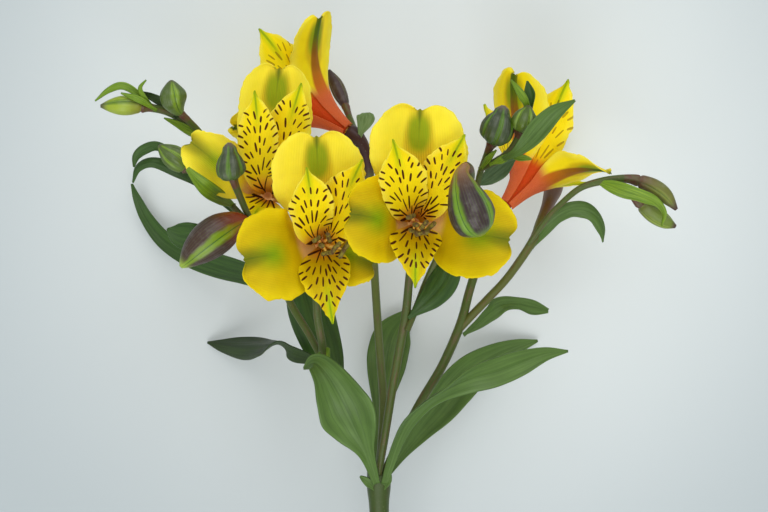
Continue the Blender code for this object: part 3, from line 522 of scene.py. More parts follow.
# Stems with a skin of their own, where the others wear ray_skin, and those that end in the throat of
# an open flower
STEM_SKINS = {"main_stem": "main_skin", "ray_top": "plum_skin", "branch_right": "rust_skin"}
FLOWER_ENDS = ("ray_centre", "ray_left", "branch_left")

# Lamps, in metres and watts: place, size and power. Both point at LAMP_TARGET
LAMPS = {"front_light": ((-0.2, -1.2, 1.5), 1.5, 15), "top_light": ((0.2, 1.1, 1.5), 1.8, 13)}
LAMP_TARGET = (0.0, 0.05, 0.05)
SKY = (0.94, 0.98, 1.0, 1)
SKY_STRENGTH = 0.72


def true_place(row):
    """Metres in the frame of a place given in millimetres as it is seen."""
    x, y, z = row[:3]
    spread = 1 - (z - SIGHT_PLANE) / SIGHT_HEIGHT
    return (Vector((x * spread, y * spread, z)) - Vector(BOX_MIDDLE)) * MM


def smooth_rows(rows, longest):
    """The rows with more between them, along a smooth curve, wherever two are over longest apart."""
    ends = [[2 * a - b for a, b in zip(rows[0], rows[1])], [2 * a - b for a, b in zip(rows[-1], rows[-2])]]
    knots = [ends[0], *rows, ends[1]]
    fine = []
    for a, b, c, d in zip(knots, knots[1:], knots[2:], knots[3:]):
        steps = max(1, math.ceil(math.dist(b[:3], c[:3]) / longest))
        for step in range(steps):
            t = step / steps
            fine.append([
                0.5 * (2 * q + (r - p) * t + (2 * p - 5 * q + 4 * r - s) * t * t
                       + (3 * q - p - 3 * r + s) * t ** 3)
                for p, q, r, s in zip(a, b, c, d)
            ])
    return fine + [list(rows[-1])]


def even_rows(rows, count):
    """That many rows evenly spaced along a smooth curve through the given rows."""
    fine = smooth_rows(rows, 0.5)
    along = [0.0]
    for a, b in zip(fine, fine[1:]):
        along.append(along[-1] + math.dist(a[:3], b[:3]))
    found, k = [], 0
    for i in range(count):
        want = along[-1] * i / (count - 1)
        while k < len(fine) - 2 and along[k + 1] < want:
            k += 1
        t = (want - along[k]) / max(along[k + 1] - along[k], 1e-9)
        found.append([a + (b - a) * t for a, b in zip(fine[k], fine[k + 1])])
    return found


def ease(t):
    """Smooth step from 0 to 1."""
    t = min(max(t, 0.0), 1.0)
    return t * t * (3 - 2 * t)


def share_at(keys, v):
    """Value at v on a smooth curve through pairs of place and value."""
    v = min(max(v, keys[0][0]), keys[-1][0])
    k = max(i for i in range(len(keys) - 1) if keys[i][0] <= v)
    before, after = keys[max(k - 1, 0)], keys[min(k + 2, len(keys) - 1)]
    (v0, w0), (v1, w1) = keys[k:k + 2]
    t = (v - v0) / (v1 - v0)
    rise0 = (w1 - before[1]) / (v1 - before[0]) * (v1 - v0)
    rise1 = (after[1] - w0) / (after[0] - v0) * (v1 - v0)
    return w0 + (w1 - w0) * t * t * (3 - 2 * t) + rise0 * t * (1 - t) ** 2 - rise1 * t * t * (1 - t)


def grid_piece(name, grid, shape, notes, looks):
    """A flat grid of columns and rows whose vertices move to shape(u, v), u from -1 to 1 and v from 0
    to 1. Its UV map holds u and v, and each named value of notes(u, v) becomes an attribute."""
    work = bmesh.new()
    bmesh.ops.create_grid(work, x_segments=grid[0], y_segments=grid[1], size=1)
    uv = work.loops.layers.uv.new("across_and_along")
    for face in work.faces:
        face.smooth = True
        for corner in face.loops:
            corner[uv].uv = ((corner.vert.co.x + 1) / 2, (corner.vert.co.y + 1) / 2)
    layers = {key: work.verts.layers.float_vector.new(key) for key in notes(0, 0.5)}
    for vert in work.verts:
        u, v = vert.co.x, (vert.co.y + 1) / 2
        for key, value in notes(u, v).items():
            vert[layers[key]] = value
        vert.co = shape(u, v)
        vert.co.z = max(vert.co.z, LOWEST * MM)
    data = bpy.data.meshes.new(name)
    for look in looks:
        data.materials.append(look)
    obj = bpy.data.objects.new(name, data)
    bpy.context.scene.collection.objects.link(obj)
    return obj, work


def keep(obj, work):
    work.to_mesh(obj.data)
    work.free()
    return obj


def add_thickness(obj, thick):
    """Gives a sheet its thickness; its other face wears the second material."""
    step = obj.modifiers.new("Thickness", "SOLIDIFY")
    step.thickness = thick * MM
    step.offset = 0
    step.material_offset = 1
    step.material_offset_rim = 0


def stand_for(piece, node):
    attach(piece, "root")
    if node:
        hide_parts(node)


def rooted(rows):
    """The rows with one more before the first, so that the piece starts inside what carries it."""
    first, second = rows[0], rows[1]
    back = ROOT_REACH / math.dist(first[:3], second[:3])
    start = [a + (a - b) * back for a, b in zip(first[:3], second[:3])]
    return ((*start, *first[3:]), *rows)


def tube_piece(name, rows, sides, step, swell, looks, wears=None):
    """A closed tube along the rows of x, y, z, radius and section. swell(turn, section) makes its ring
    fuller or slimmer at a share of a turn, and wears(section) gives the material of each ring."""
    rings = smooth_rows(rows, step)
    centres = [true_place(ring) for ring in rings]
    last = len(rings) - 1
    frames, side, along = [], Vector((0, 0, 1)), [0.0]
    for k, centre in enumerate(centres):
        ahead = (centres[min(k + 1, last)] - centres[max(k - 1, 0)]).normalized()
        side = (side - ahead * side.dot(ahead)).normalized()
        frames.append((centre, side.copy(), ahead.cross(side)))
        along.append(along[-1] + (centres[min(k + 1, last)] - centre).length / MM)

    def ring_of(v):
        return min(max(round(v * (last + 2)) - 1, 0), last)

    def shape(u, v):
        k = round(v * (last + 2)) - 1
        if k < 0 or k > last:
            return centres[min(max(k, 0), last)]
        centre, out, over = frames[k]
        turn = math.pi * u
        radius = MM * max(rings[k][3], 0.05) * swell((u + 1) / 2, rings[k][4])
        return centre + radius * (out * math.cos(turn) + over * math.sin(turn))

    def notes(u, v):
        k = ring_of(v)
        return {"place": (along[k], rings[k][4], 0)}

    obj, work = grid_piece(name, (sides, last + 2), shape, notes, looks)
    bmesh.ops.remove_doubles(work, verts=work.verts, dist=MM / 5000)
    if wears:
        place = work.verts.layers.float_vector["place"]
        for face in work.faces:
            face.material_index = wears(sum(vert[place].y for vert in face.verts) / len(face.verts))
    return keep(obj, work)


def stem_swell(turn, section):
    return 1 + 0.025 * math.cos(10 * math.pi * turn) + 0.012 * math.cos(22 * math.pi * turn + 1)


def bud_swell(twist, folds):
    """A bud's folds are plump lobes with seams between, and deepest where there are few."""
    def swell(turn, section):
        if section < 1:
            return stem_swell(turn, section)
        neck = 1 - BUD_NECK * math.exp(-((section - 2) / 0.05) ** 2)
        if section < 2:
            return neck * (1 + 0.08 * (section - 1) * math.cos(12 * math.pi * turn))
        lobe = (folds * (turn + twist / 360)) % 1
        plump = (4 * lobe * (1 - lobe)) ** (0.4 if folds < 6 else 0.7)
        rib = math.exp(-((lobe - 0.5) / 0.05) ** 2)
        depth = BUD_SEAM * ease((section - 2) * 6) * ease((3.02 - section) * 5)
        return neck * (1.05 - depth * (1 - plump) + 0.02 * rib)
    return swell


def wears_crown(section):
    """Only the end face of a stem, where the section is 1 all round, wears the crown."""
    return int(section > 0.9999)


def make_stems(looks):
    for name, rows in STEMS.items():
        last = len(rows) - 1
        rows = [(*row, k / last) for k, row in enumerate(rows)]
        skins = [looks[STEM_SKINS.get(name, "ray_skin")]]
        wears = wears_crown if name in FLOWER_ENDS else None
        if wears:
            skins.append(looks["crown"])
        if name != "main_stem":
            rows = rooted(rows)
        piece = tube_piece(f"{name}_skin", rows, STEM_SIDES, STEM_STEP, stem_swell, skins, wears)
        stand_for(piece, name)


def bud_rows(name):
    """The rows of a bud with its section: 0 to 1 on the stalk, to 2 on the ovary and to 3 on the bud."""
    rows = BUDS[name]
    ovary, bud = BUD_HEADS[name][:2]
    last = len(rows) - 1
    places = ((0, 0), (ovary, 1), (bud, 2), (last, 3))
    found = []
    for k, row in enumerate(rows):
        for (k0, s0), (k1, s1) in zip(places, places[1:]):
            if k0 <= k <= k1:
                section = s0 + (s1 - s0) * (k - k0) / (k1 - k0)
        found.append((*row, section))
    return rooted(found)


def make_buds(looks):
    for name in BUDS:
        swell = bud_swell(*BUD_HEADS[name][2:])
        skins = [looks["ray_skin"], looks["ovary_skin"], looks[name]]
        piece = tube_piece(f"{name}_skin", bud_rows(name), BUD_SIDES, BUD_STEP, swell, skins,
                           lambda section: min(int(section), 2))
        stand_for(piece, name)


def leaf_surface(rows, arch, seed):
    """The blade as a function of u across, from -1 to 1, and v along, from 0 to 1."""
    line = even_rows(rows, LEAF_STATIONS)
    centre = [true_place(row) for row in line]
    bend = math.radians(arch)
    steps = LEAF_STATIONS - 1

    def surface(u, v):
        u = -u
        k = min(int(v * steps), steps - 1)
        t = v * steps - k
        ahead = (centre[k + 1] - centre[k]).normalized()
        if 0 < k:
            before = (centre[k] - centre[k - 1]).normalized()
            ahead = before.lerp(ahead, 0.5 + 0.5 * t).normalized()
        side = Vector((0, 0, 1)).cross(ahead).normalized()
        face = ahead.cross(side)
        half, roll = (a + (b - a) * t for a, b in zip(line[k][3:], line[k + 1][3:]))
        half = max(half, LEAF_NARROWEST)
        roll = math.radians(roll)
        across = side * math.cos(roll) + face * math.sin(roll)
        out = face * math.cos(roll) - side * math.sin(roll)
        radius = half / bend
        place = centre[k].lerp(centre[k + 1], t)
        wave = LEAF_WAVE * half * abs(u) ** 2 * noise.noise(Vector((u * 0.8, v * 5, seed)))
        swell = LEAF_SWELL * half * noise.noise(Vector((u * 1.6 + 9, v * 3, seed)))
        ribs = math.cos(9 * math.pi * u + 2 * noise.noise(Vector((u, v * 3, seed))))
        rib = LEAF_RIB * min(half, 4) * ribs
        keel = LEAF_KEEL * half * math.exp(-(u / 0.1) ** 2)
        lift = radius * (1 - math.cos(bend * u)) + wave + swell + rib - keel
        return place + MM * (across * radius * math.sin(bend * u) + out * lift)

    return surface


def leaf_piece(name, rows, arch, seed, grid, looks):
    obj, work = grid_piece(name, grid, leaf_surface(rooted(rows), arch, seed), lambda u, v: {}, looks)
    add_thickness(keep(obj, work), LEAF_THICK)
    return obj


def make_leaves(looks):
    for count, (name, (arch, rows)) in enumerate(LEAVES.items()):
        tone = LEAF_TONES.get(name, "green")
        piece = leaf_piece(f"{name}_blade", rows, arch, count * 3.7, LEAF_GRID, looks[tone])
        stand_for(piece, name)
    for count, (name, (tone, rows)) in enumerate(BRACTS.items()):
        rows = [(*row, 0) for row in rows]
        piece = leaf_piece(name, rows, BRACT_ARCH, count * 5.3, BRACT_GRID, looks[tone])
        stand_for(piece, None)


def is_outer(kind):
    return kind in ("outer", "slim", "folded")


def is_round(kind):
    """Most outer tepals end in a round arc with a notch, and the others in a point."""
    return kind in ("outer", "slim")


def low_to_high(pair, v):
    """From the first value low on a tepal to the second one high on it."""
    return pair[0] + (pair[1] - pair[0]) * ease((v - 0.2) / 0.5)


def make_dashes(half_at, out_at, seed):
    """Dashes that fan out from the throat, each as its place across the tepal and out from the flower's
    axis, the way it points, its half-length and half-width. A new one is kept where it has room."""
    chance = random.Random(seed)
    widest = max(half_at(k / 20) for k in range(21))
    found = []
    for _ in range(DASH_TRIES):
        x, v = chance.uniform(-widest, widest), chance.uniform(*DASH_PART)
        size, stout = chance.uniform(*DASH_LENGTHS), chance.uniform(*DASH_WIDTHS)
        u = x / half_at(v)
        y = out_at(v)
        if abs(u) > DASH_WITHIN or out_at(1) - y < DASH_BARE_TIP * size:
            continue
        lean = math.copysign(math.radians(low_to_high(DASH_LEAN, v)) * abs(u), x)
        aside, ahead = math.sin(lean), math.cos(lean)
        reach = size * low_to_high(DASH_REACH, v)
        room = low_to_high(DASH_APART, v)

        def clear_of(other):
            off_x, off_y = x - other[0], y - other[1]
            beside = abs(off_x * ahead - off_y * aside) / room
            in_line = abs(off_x * aside + off_y * ahead) / (reach + other[4] + DASH_GAP)
            return beside ** 3 + in_line ** 3 > 1

        if all(clear_of(other) for other in found):
            found.append((x, y, aside, ahead, reach, stout * low_to_high(DASH_HALF, v)))
    return found


def dash_depth(dashes, x, y):
    """How far inside a dash a place is, in millimetres, and below 0 outside all of them."""
    depth = -0.5
    for dash_x, dash_y, aside, ahead, reach, half in dashes:
        if abs(x - dash_x) > DASH_NEAR or abs(y - dash_y) > DASH_NEAR:
            continue
        along = (x - dash_x) * aside + (y - dash_y) * ahead
        across = (x - dash_x) * ahead - (y - dash_y) * aside
        width = half * (1 - 0.35 * min((along / reach) ** 2, 1))
        depth = max(depth, width - math.hypot(across, max(abs(along) - reach + width, 0)))
    return depth


def half_share(kind, v):
    """Half-width along a tepal, as a share of its widest place."""
    if not is_round(kind) or v <= ROUND_FROM:
        return share_at(PROFILES[kind], v)
    t = (v - ROUND_FROM) / (1 - ROUND_FROM)
    return max(0.012, 1 - t ** ROUNDNESS) ** (1 / ROUNDNESS)


def tepal_shape(seat, faces, seed, kind, tip, foot_turn, foot_lean, tip_lean, half_width, arch, roll):
    """A tepal: a narrow claw rises beside the flower's axis and widens into a spreading limb."""
    axis = Vector(faces).normalized()
    start = true_place(seat) / MM + axis * SEAT_GAP
    end = true_place(tip) / MM
    out = ((end - start) - axis * (end - start).dot(axis)).normalized()
    foot_out = Matrix.Rotation(math.radians(foot_turn), 3, axis) @ out
    outer = is_outer(kind)
    foot = start + foot_out * (OUTER_FOOT if outer else INNER_FOOT)
    span = (end - foot).length
    a, b = math.radians(foot_lean), math.radians(tip_lean)
    knots = (
        foot,
        foot + 0.5 * span * (foot_out * math.sin(a) + axis * math.cos(a)),
        end - 0.4 * span * (out * math.sin(b) + axis * math.cos(b)),
        end,
    )
    foot_across, tip_across = axis.cross(foot_out), axis.cross(out)
    notch = NOTCH if is_round(kind) else 0.0
    mucro = MUCRO[0] if outer else MUCRO[1]
    ruffle = RUFFLE * (1.0 if outer else 0.5)

    def eased(t):
        """Rows lie closer together towards a round tip."""
        return math.sin(t * math.pi / 2) if is_round(kind) else t

    def half_at(t):
        return half_width * half_share(kind, eased(t))

    def middle_at(v):
        w = 1 - v
        return w ** 3 * knots[0] + 3 * w * w * v * knots[1] + 3 * w * v * v * knots[2] + v ** 3 * knots[3]

    def out_at(v):
        """How far from the flower's axis the middle line is."""
        along = middle_at(v) - start
        return (along - axis * along.dot(axis)).length

    dashes = [] if outer else make_dashes(half_at, out_at, seed)

    def surface(u, t):
        v = eased(t)
        w = 1 - v
        at = middle_at(v)
        way = (w * w * (knots[1] - knots[0]) + 2 * w * v * (knots[2] - knots[1])
               + v * v * (knots[3] - knots[2])).normalized()
        across = foot_across.lerp(tip_across, ease(v / 0.7))
        inward = way.cross(across).normalized()
        across = inward.cross(way)
        turn = math.radians(roll) * v * v
        side = across * math.cos(turn) + inward * math.sin(turn)
        inward = inward * math.cos(turn) - across * math.sin(turn)
        wrap = math.radians(CLAW_WRAP + (arch - CLAW_WRAP) * ease(v / LIMB_FROM))
        half = half_at(t)
        limb = ease((v - LIMB_FROM) / LIMB_RISE)
        half += TOOTH * limb * abs(u) ** 9 * noise.noise(Vector((30 * t, seed, 4 * u)))
        half += 2 * TOOTH * limb * abs(u) ** 5 * noise.noise(Vector((9 * t, seed + 7, 3 * u)))
        x = half * u
        lobes = notch * (1 - math.exp(-(x / (NOTCH_WIDTH * half_width)) ** 2)) * ease((v - 0.75) / 0.25)
        point = mucro * math.exp(-(x / MUCRO_WIDTH) ** 2) * ease((v - 0.95) / 0.05)
        wave = ruffle * limb * abs(u) ** 2.5 * noise.noise(Vector((1.3 * u, 5 * v, seed)))
        keel = -FOLD * limb * math.exp(-(x / FOLD_WIDTH) ** 2)
        lift = half / wrap * (1 - math.cos(wrap * u)) + wave + keel
        return MM * (at + side * half / wrap * math.sin(wrap * u) + inward * lift + way * (lobes + point))

    def notes(u, t):
        v = eased(t)
        x = half_at(t) * u
        fan = ease((v - FAN_PART[0]) / (FAN_PART[1] - FAN_PART[0]))
        spread = VEIN_PITCH[0] + (VEIN_PITCH[1] - VEIN_PITCH[0]) * fan
        depth = dash_depth(dashes, x, out_at(v))
        return {"place": (x, (1 - v) * span, v), "veins": (x / spread, depth, u)}

    return surface, notes


def make_flowers():
    for flower, parts in FLOWERS.items():
        for part, data in parts.items():
            if part in ("seat", "faces"):
                continue
            name = f"flower_{flower}_{part}"
            joined = data if isinstance(data[0], tuple) else (data,)
            for count, one in enumerate(joined):
                seed = random.uniform(0, 50)
                surface, notes = tepal_shape(parts["seat"], parts["faces"], seed, *one)
                piece_name = f"{name}_petal" if len(joined) == 1 else f"{name}_petal_{count + 1}"
                # The top outer tepal has a kind of its own for the painted light it wears
                kind = "outer_top" if part == "outer_top" else one[0]
                # pale keeps the back left flower out of the painted shade and gives its outer tepals the painted
                # light
                pale = flower == "back_left"
                faces = [tepal_look(piece_name, kind, side, seed, pale) for side in ("back", "face")]
                grid = TEPAL_GRID if is_outer(one[0]) else DASHED_GRID
                obj, work = grid_piece(piece_name, grid, surface, notes, faces)
                add_thickness(keep(obj, work), TEPAL_THICK)
                stand_for(obj, name)


def make_stamens(looks):
    for flower, anthers in STAMENS.items():
        x, y, z = FLOWERS[flower]["seat"]
        for count, (right, up, along) in enumerate(anthers):
            turn = math.atan2(up, right)
            rows = (
                (x + 0.25 * math.cos(turn), y + 0.25 * math.sin(turn), z + SEAT_GAP, FILAMENT, 0.0),
                (x + 0.5 * right, y + 0.5 * up, z + 0.7 * along, FILAMENT, 0.5),
                (x + 0.9 * right, y + 0.9 * up, z + 0.94 * along, 0.3, 0.99),
                (x + 0.92 * right + 0.3 * up, y + 0.92 * up - 0.3 * right, z + 0.96 * along, ANTHER, 1.1),
                (x + right - 0.1 * up, y + up + 0.1 * right, z + along, ANTHER, 1.5),
                (x + 1.15 * right - 0.5 * up, y + 1.15 * up + 0.5 * right, z + along + 1.5, ANTHER, 1.9),
                (x + 1.2 * right - 0.6 * up, y + 1.2 * up + 0.6 * right, z + along + 1.9, 0.3, 2.0),
            )
            skins = [looks["filament"], looks["anther"]]
            piece = tube_piece(f"flower_{flower}_stamen_{count + 1}", rows, STAMEN_SIDES, STAMEN_STEP,
                               anther_swell, skins, lambda section: int(section > 1))
            stand_for(piece, f"flower_{flower}_stamens")


def anther_swell(turn, section):
    """An anther has two furrows along it."""
    return 1 - 0.22 * ease((section - 1) * 4) * abs(math.cos(2 * math.pi * turn)) ** 6


class Nodes:
    """Short calls for the nodes of one material or group: a socket is linked, anything else is set."""

    def __init__(self, tree):
        self.tree = tree

    def put(self, socket, value):
        if isinstance(value, bpy.types.NodeSocket):
            self.tree.links.new(value, socket)
        elif isinstance(value, tuple) and socket.type == "RGBA":
            socket.default_value = (*value, 1)
        else:
            socket.default_value = value

    def add(self, kind, *values, **settings):
        made = self.tree.nodes.new("ShaderNode" + kind)
        for key, value in settings.items():
            setattr(made, key, value)
        for socket, value in zip(made.inputs, values):
            self.put(socket, value)
        return made

    def calc(self, operation, *values):
        return self.add("Math", *values, operation=operation).outputs[0]

    def times(self, first, second):
        return self.calc("MULTIPLY", first, second)

    def times_plus(self, value, factor, more):
        return self.calc("MULTIPLY_ADD", value, factor, more)

    def vector(self, *parts):
        return self.add("CombineXYZ", *parts).outputs[0]

    def space(self):
        return self.add("TexCoord").outputs["Object"]

    def rise(self, value, low, high):
        """0 at low and 1 at high, with a smooth step between; low may be the greater."""
        return self.add("MapRange", value, low, high, interpolation_type="SMOOTHSTEP").outputs[0]

    def blend(self, factor, first, second):
        made = self.add("Mix", data_type="RGBA")
        for place, value in ((0, factor), (6, first), (7, second)):
            self.put(made.inputs[place], value)
        return made.outputs[2]

    def group(self, name, **values):
        made = self.tree.nodes.new("ShaderNodeGroup")
        made.node_tree = bpy.data.node_groups[name]
        for key, value in values.items():
            self.put(made.inputs[key], value)
        return made.outputs[0]

    def noise(self, vector, scale, detail=2.0):
        made = self.add("TexNoise")
        self.put(made.inputs["Vector"], vector)
        self.put(made.inputs["Scale"], scale)
        self.put(made.inputs["Detail"], detail)
        return made.outputs["Fac"]

    def parts(self, name):
        """The three values of an attribute, or of the UV map for None."""
        if name is None:
            source = self.add("UVMap", uv_map="across_and_along").outputs[0]
        else:
            source = self.add("Attribute", attribute_name=name).outputs["Vector"]
        return self.add("SeparateXYZ", source).outputs[:]


def new_group(name, takes, gives):
    """An empty node group: its Nodes, the sockets it takes, and put_out(value) for its one output."""
    tree = bpy.data.node_groups.new(name, "ShaderNodeTree")
    for label, (kind, value) in takes.items():
        socket = tree.interface.new_socket(label, in_out="INPUT", socket_type="NodeSocket" + kind)
        socket.default_value = value
    tree.interface.new_socket(gives[0], in_out="OUTPUT", socket_type="NodeSocket" + gives[1])
    inner = Nodes(tree)
    taken = tree.nodes.new("NodeGroupInput")
    given = tree.nodes.new("NodeGroupOutput")
    return inner, taken.outputs, lambda value: inner.put(given.inputs[0], value)


def make_groups():
    make_mottle_group()
    make_line_group()
    make_patch_group()


def make_mottle_group():
    """A colour made lighter and darker in soft blotches."""
    inner, takes, give = new_group("Mottle", {
        "Colour": ("Color", (1, 1, 1, 1)), "Vector": ("Vector", (0, 0, 0)),
        "Scale": ("Float", 100), "Amount": ("Float", 0.15),
    }, ("Colour", "Color"))
    blotch = inner.noise(takes["Vector"], takes["Scale"], 3)
    level = inner.times_plus(inner.calc("SUBTRACT", blotch, 0.5), takes["Amount"], 0.5)
    level = inner.times(level, 2.0)
    scaled = inner.add("VectorMath", operation="SCALE")
    inner.put(scaled.inputs[0], takes["Colour"])
    inner.put(scaled.inputs["Scale"], level)
    give(scaled.outputs[0])


def make_line_group():
    """Fine lines that run where Across times Count is whole, wandering a little."""
    inner, takes, give = new_group("Fine_Lines", {
        "Across": ("Float", 0), "Count": ("Float", 20), "Width": ("Float", 0.3), "Wander": ("Float", 0.15),
        "Vector": ("Vector", (0, 0, 0)),
    }, ("Mask", "Float"))
    sway = inner.calc("SUBTRACT", inner.noise(takes["Vector"], 180), 0.5)
    shift = inner.times(sway, takes["Wander"])
    place = inner.times_plus(takes["Across"], takes["Count"], shift)
    offset = inner.calc("ABSOLUTE", inner.calc("SUBTRACT", inner.calc("FRACT", place), 0.5))
    give(inner.rise(offset, inner.calc("SUBTRACT", 0.5, takes["Width"]), 0.5))


def make_patch_group():
    """A soft oval at the tip: 1 at its middle line, fading at Half_Width and Length."""
    inner, takes, give = new_group("Tip_Patch", {
        "Across": ("Float", 0), "From_Tip": ("Float", 0), "Half_Width": ("Float", 3), "Length": ("Float", 12),
        "Soft": ("Float", 0.5),
    }, ("Mask", "Float"))
    x = inner.calc("DIVIDE", takes["Across"], takes["Half_Width"])
    y = inner.calc("DIVIDE", takes["From_Tip"], takes["Length"])
    y = inner.times(inner.calc("SUBTRACT", y, 0.47), 1.9)
    far = inner.calc("SQRT", inner.calc("ADD", inner.times(x, x), inner.times(y, y)))
    give(inner.rise(far, 1.0, inner.calc("SUBTRACT", 1.0, takes["Soft"])))


def new_look(name, roughness, specular=0.5):
    """A material, its Nodes and its shader."""
    made = bpy.data.materials.new(name)
    made.use_nodes = True
    nodes = Nodes(made.node_tree)
    shader = made.node_tree.nodes["Principled BSDF"]
    shader.inputs["Roughness"].default_value = roughness
    shader.inputs["Specular IOR Level"].default_value = specular
    return made, nodes, shader


def bump(nodes, shader, height, distance, strength):
    """Bumps on the surface, with the distance in millimetres."""
    made = nodes.add("Bump")
    nodes.put(made.inputs["Height"], height)
    made.inputs["Distance"].default_value = distance * MM
    made.inputs["Strength"].default_value = strength
    nodes.put(shader.inputs["Normal"], made.outputs[0])


def tepal_look(name, kind, side, seed, pale):
    """Yellow limb with fine veins: an inner one is dashed with brown and orange at the throat, an outer one
    has a green tip, and the back of either has a red claw. Side and lower tepals wear a darker gold as
    painted shade, and the top one and the back left flower's outer ones a lighter yellow as painted light."""
    made, nodes, shader = new_look(f"{name}_{side}", 0.6, 0.12)
    shader.inputs["Subsurface Weight"].default_value = 0.4
    shader.inputs["Subsurface Radius"].default_value = (1.0, 0.7, 0.15)
    shader.inputs["Subsurface Scale"].default_value = 2 * MM
    x, from_tip, v = nodes.parts("place")
    vein, depth, u = nodes.parts("veins")
    space = nodes.space()
    vector = nodes.vector(x, from_tip, seed)
    wide = nodes.calc("ABSOLUTE", u)
    ground, margin = YELLOW, PALE_YELLOW
    # Painted shade: gold ground and margin on outer and lower tepals
    if kind in ("outer", "lower") and not pale:
        ground, margin = PAINTED_SHADE_GOLD, PAINTED_SHADE_GOLD_MARGIN
    # Painted light: lighter yellow ground on the top outer tepal and the back left flower's outer ones
    if kind == "outer_top" or (pale and kind == "outer"):
        ground = PAINTED_LIGHT_YELLOW
    colour = nodes.blend(nodes.rise(wide, 0.6, 1.0), ground, margin)
    lines = nodes.group("Fine_Lines", Across=vein, Count=4.0, Width=0.35, Wander=0.5, Vector=space)
    colour = nodes.blend(nodes.times(lines, 0.22), colour, DEEP_YELLOW)
    off_middle = nodes.calc("ABSOLUTE", x)
    if kind in ("inner", "lower"):
        colour = nodes.blend(nodes.rise(v, 0.38, 0.16), colour, ORANGE)
        halo = nodes.times(nodes.rise(off_middle, 2.2, 0.4), nodes.rise(from_tip, 16.0, 4.0))
        colour = nodes.blend(nodes.times(halo, 0.7), colour, TIP_GREEN)
        streak = nodes.times(nodes.rise(off_middle, 0.55, 0.15), nodes.rise(from_tip, 11.0, 3.0))
        colour = nodes.blend(nodes.times(streak, 0.75), colour, MID_GREEN)
        dashes = nodes.times(nodes.rise(depth, -0.05, 0.09), 1.0 if side == "face" else 0.6)
        colour = nodes.blend(dashes, colour, DASH_BROWN)
    else:
        colour = nodes.blend(nodes.rise(v, 0.4, 0.24), colour, SALMON)
        smear = kind == "outer"
        # Painted shade: olive brown on either side of the tip's middle, where the fold is shaded
        painted_fold_shade = nodes.group("Tip_Patch", Across=x, From_Tip=from_tip, Half_Width=6.0, Length=19.0, Soft=0.35)
        amount = 0.12 if smear else nodes.times_plus(lines, 0.35, 0.4)
        colour = nodes.blend(nodes.times(painted_fold_shade, amount), colour, PAINTED_FOLD_SHADE)
        green = nodes.group("Tip_Patch", Across=x, From_Tip=from_tip, Half_Width=8.0 if smear else 4.9,
                            Length=20.0 if smear else 14.5, Soft=1.0 if smear else 0.5)
        strength = nodes.times_plus(lines, -0.2, 0.95 if smear else 0.85)
        colour = nodes.blend(nodes.times(green, strength), colour, MID_GREEN)
        dark = nodes.times(nodes.rise(off_middle, 0.4, 0.1), nodes.rise(from_tip, 11.0, 0.0))
        colour = nodes.blend(nodes.times(dark, 0.4), colour, DARK_GREEN)
        reach = 12.0 if smear else 4.0
        wedge = nodes.times_plus(nodes.rise(from_tip, reach, 0.0), 4.2 if smear else 1.2, 0.5)
        point = nodes.rise(nodes.calc("DIVIDE", off_middle, wedge), 1.3, 0.1)
        point = nodes.times(point, nodes.rise(from_tip, reach, 0.5))
        colour = nodes.blend(nodes.times(point, 0.75), colour, DARK_GREEN)
    if side == "back":
        colour = claw_band(nodes, colour, kind, off_middle, from_tip, v, lines)
    colour = nodes.group("Mottle", Colour=colour, Vector=vector, Scale=0.25, Amount=0.12)
    nodes.put(shader.inputs["Base Color"], colour)
    bump(nodes, shader, lines, 0.05, 0.5)
    return made


def claw_band(nodes, colour, kind, off_middle, from_tip, v, lines):
    """On its back a tepal has a red claw, which goes on as a band along the middle of an outer one:
    red, then brown, then dark green at the tip."""
    claw = nodes.rise(v, 0.42, 0.28)
    if kind in ("inner", "lower"):
        return nodes.blend(claw, colour, CLAW_RED)
    hue = nodes.blend(nodes.rise(from_tip, 4.0, 12.0), DARK_GREEN, BAND_BROWN)
    hue = nodes.blend(nodes.rise(from_tip, 14.0, 28.0), hue, CLAW_RED)
    edge = nodes.times_plus(nodes.rise(from_tip, 4.0, 26.0), 1.6, 1.5)
    band = nodes.rise(nodes.calc("DIVIDE", off_middle, edge), 1.25, 0.75)
    strength = nodes.times_plus(lines, 0.15, 0.82)
    band = nodes.times(nodes.calc("MAXIMUM", band, claw), strength)
    return nodes.blend(band, colour, hue)


def leaf_look(name, dark, light, vein_colour, roughness):
    """A leaf's skin with parallel veins, a stronger one in the middle."""
    made, nodes, shader = new_look(name, roughness, 0.35)
    across, along, _ = nodes.parts(None)
    space = nodes.space()
    stretched = nodes.vector(nodes.times(across, 3.0), along)
    slow = nodes.vector(nodes.times(across, 0.02), nodes.times(along, 0.016))
    colour = nodes.blend(nodes.rise(nodes.noise(stretched, 3.0, 3), 0.25, 0.75), dark, light)
    fine = nodes.group("Fine_Lines", Across=across, Count=40.0, Width=0.3, Wander=1.2, Vector=slow)
    main = nodes.group("Fine_Lines", Across=across, Count=9.0, Width=0.1, Wander=0.8, Vector=slow)
    middle = nodes.rise(nodes.calc("ABSOLUTE", nodes.calc("SUBTRACT", across, 0.5)), 0.018, 0.005)
    veins = nodes.calc("MAXIMUM", nodes.times(fine, 0.25), nodes.calc("MAXIMUM", main, middle))
    colour = nodes.blend(nodes.times(veins, 0.45), colour, vein_colour)
    colour = nodes.group("Mottle", Colour=colour, Vector=space, Scale=120.0, Amount=0.18)
    nodes.put(shader.inputs["Base Color"], colour)
    bump(nodes, shader, nodes.calc("SUBTRACT", 1.0, veins), 0.08, 0.45)
    return made


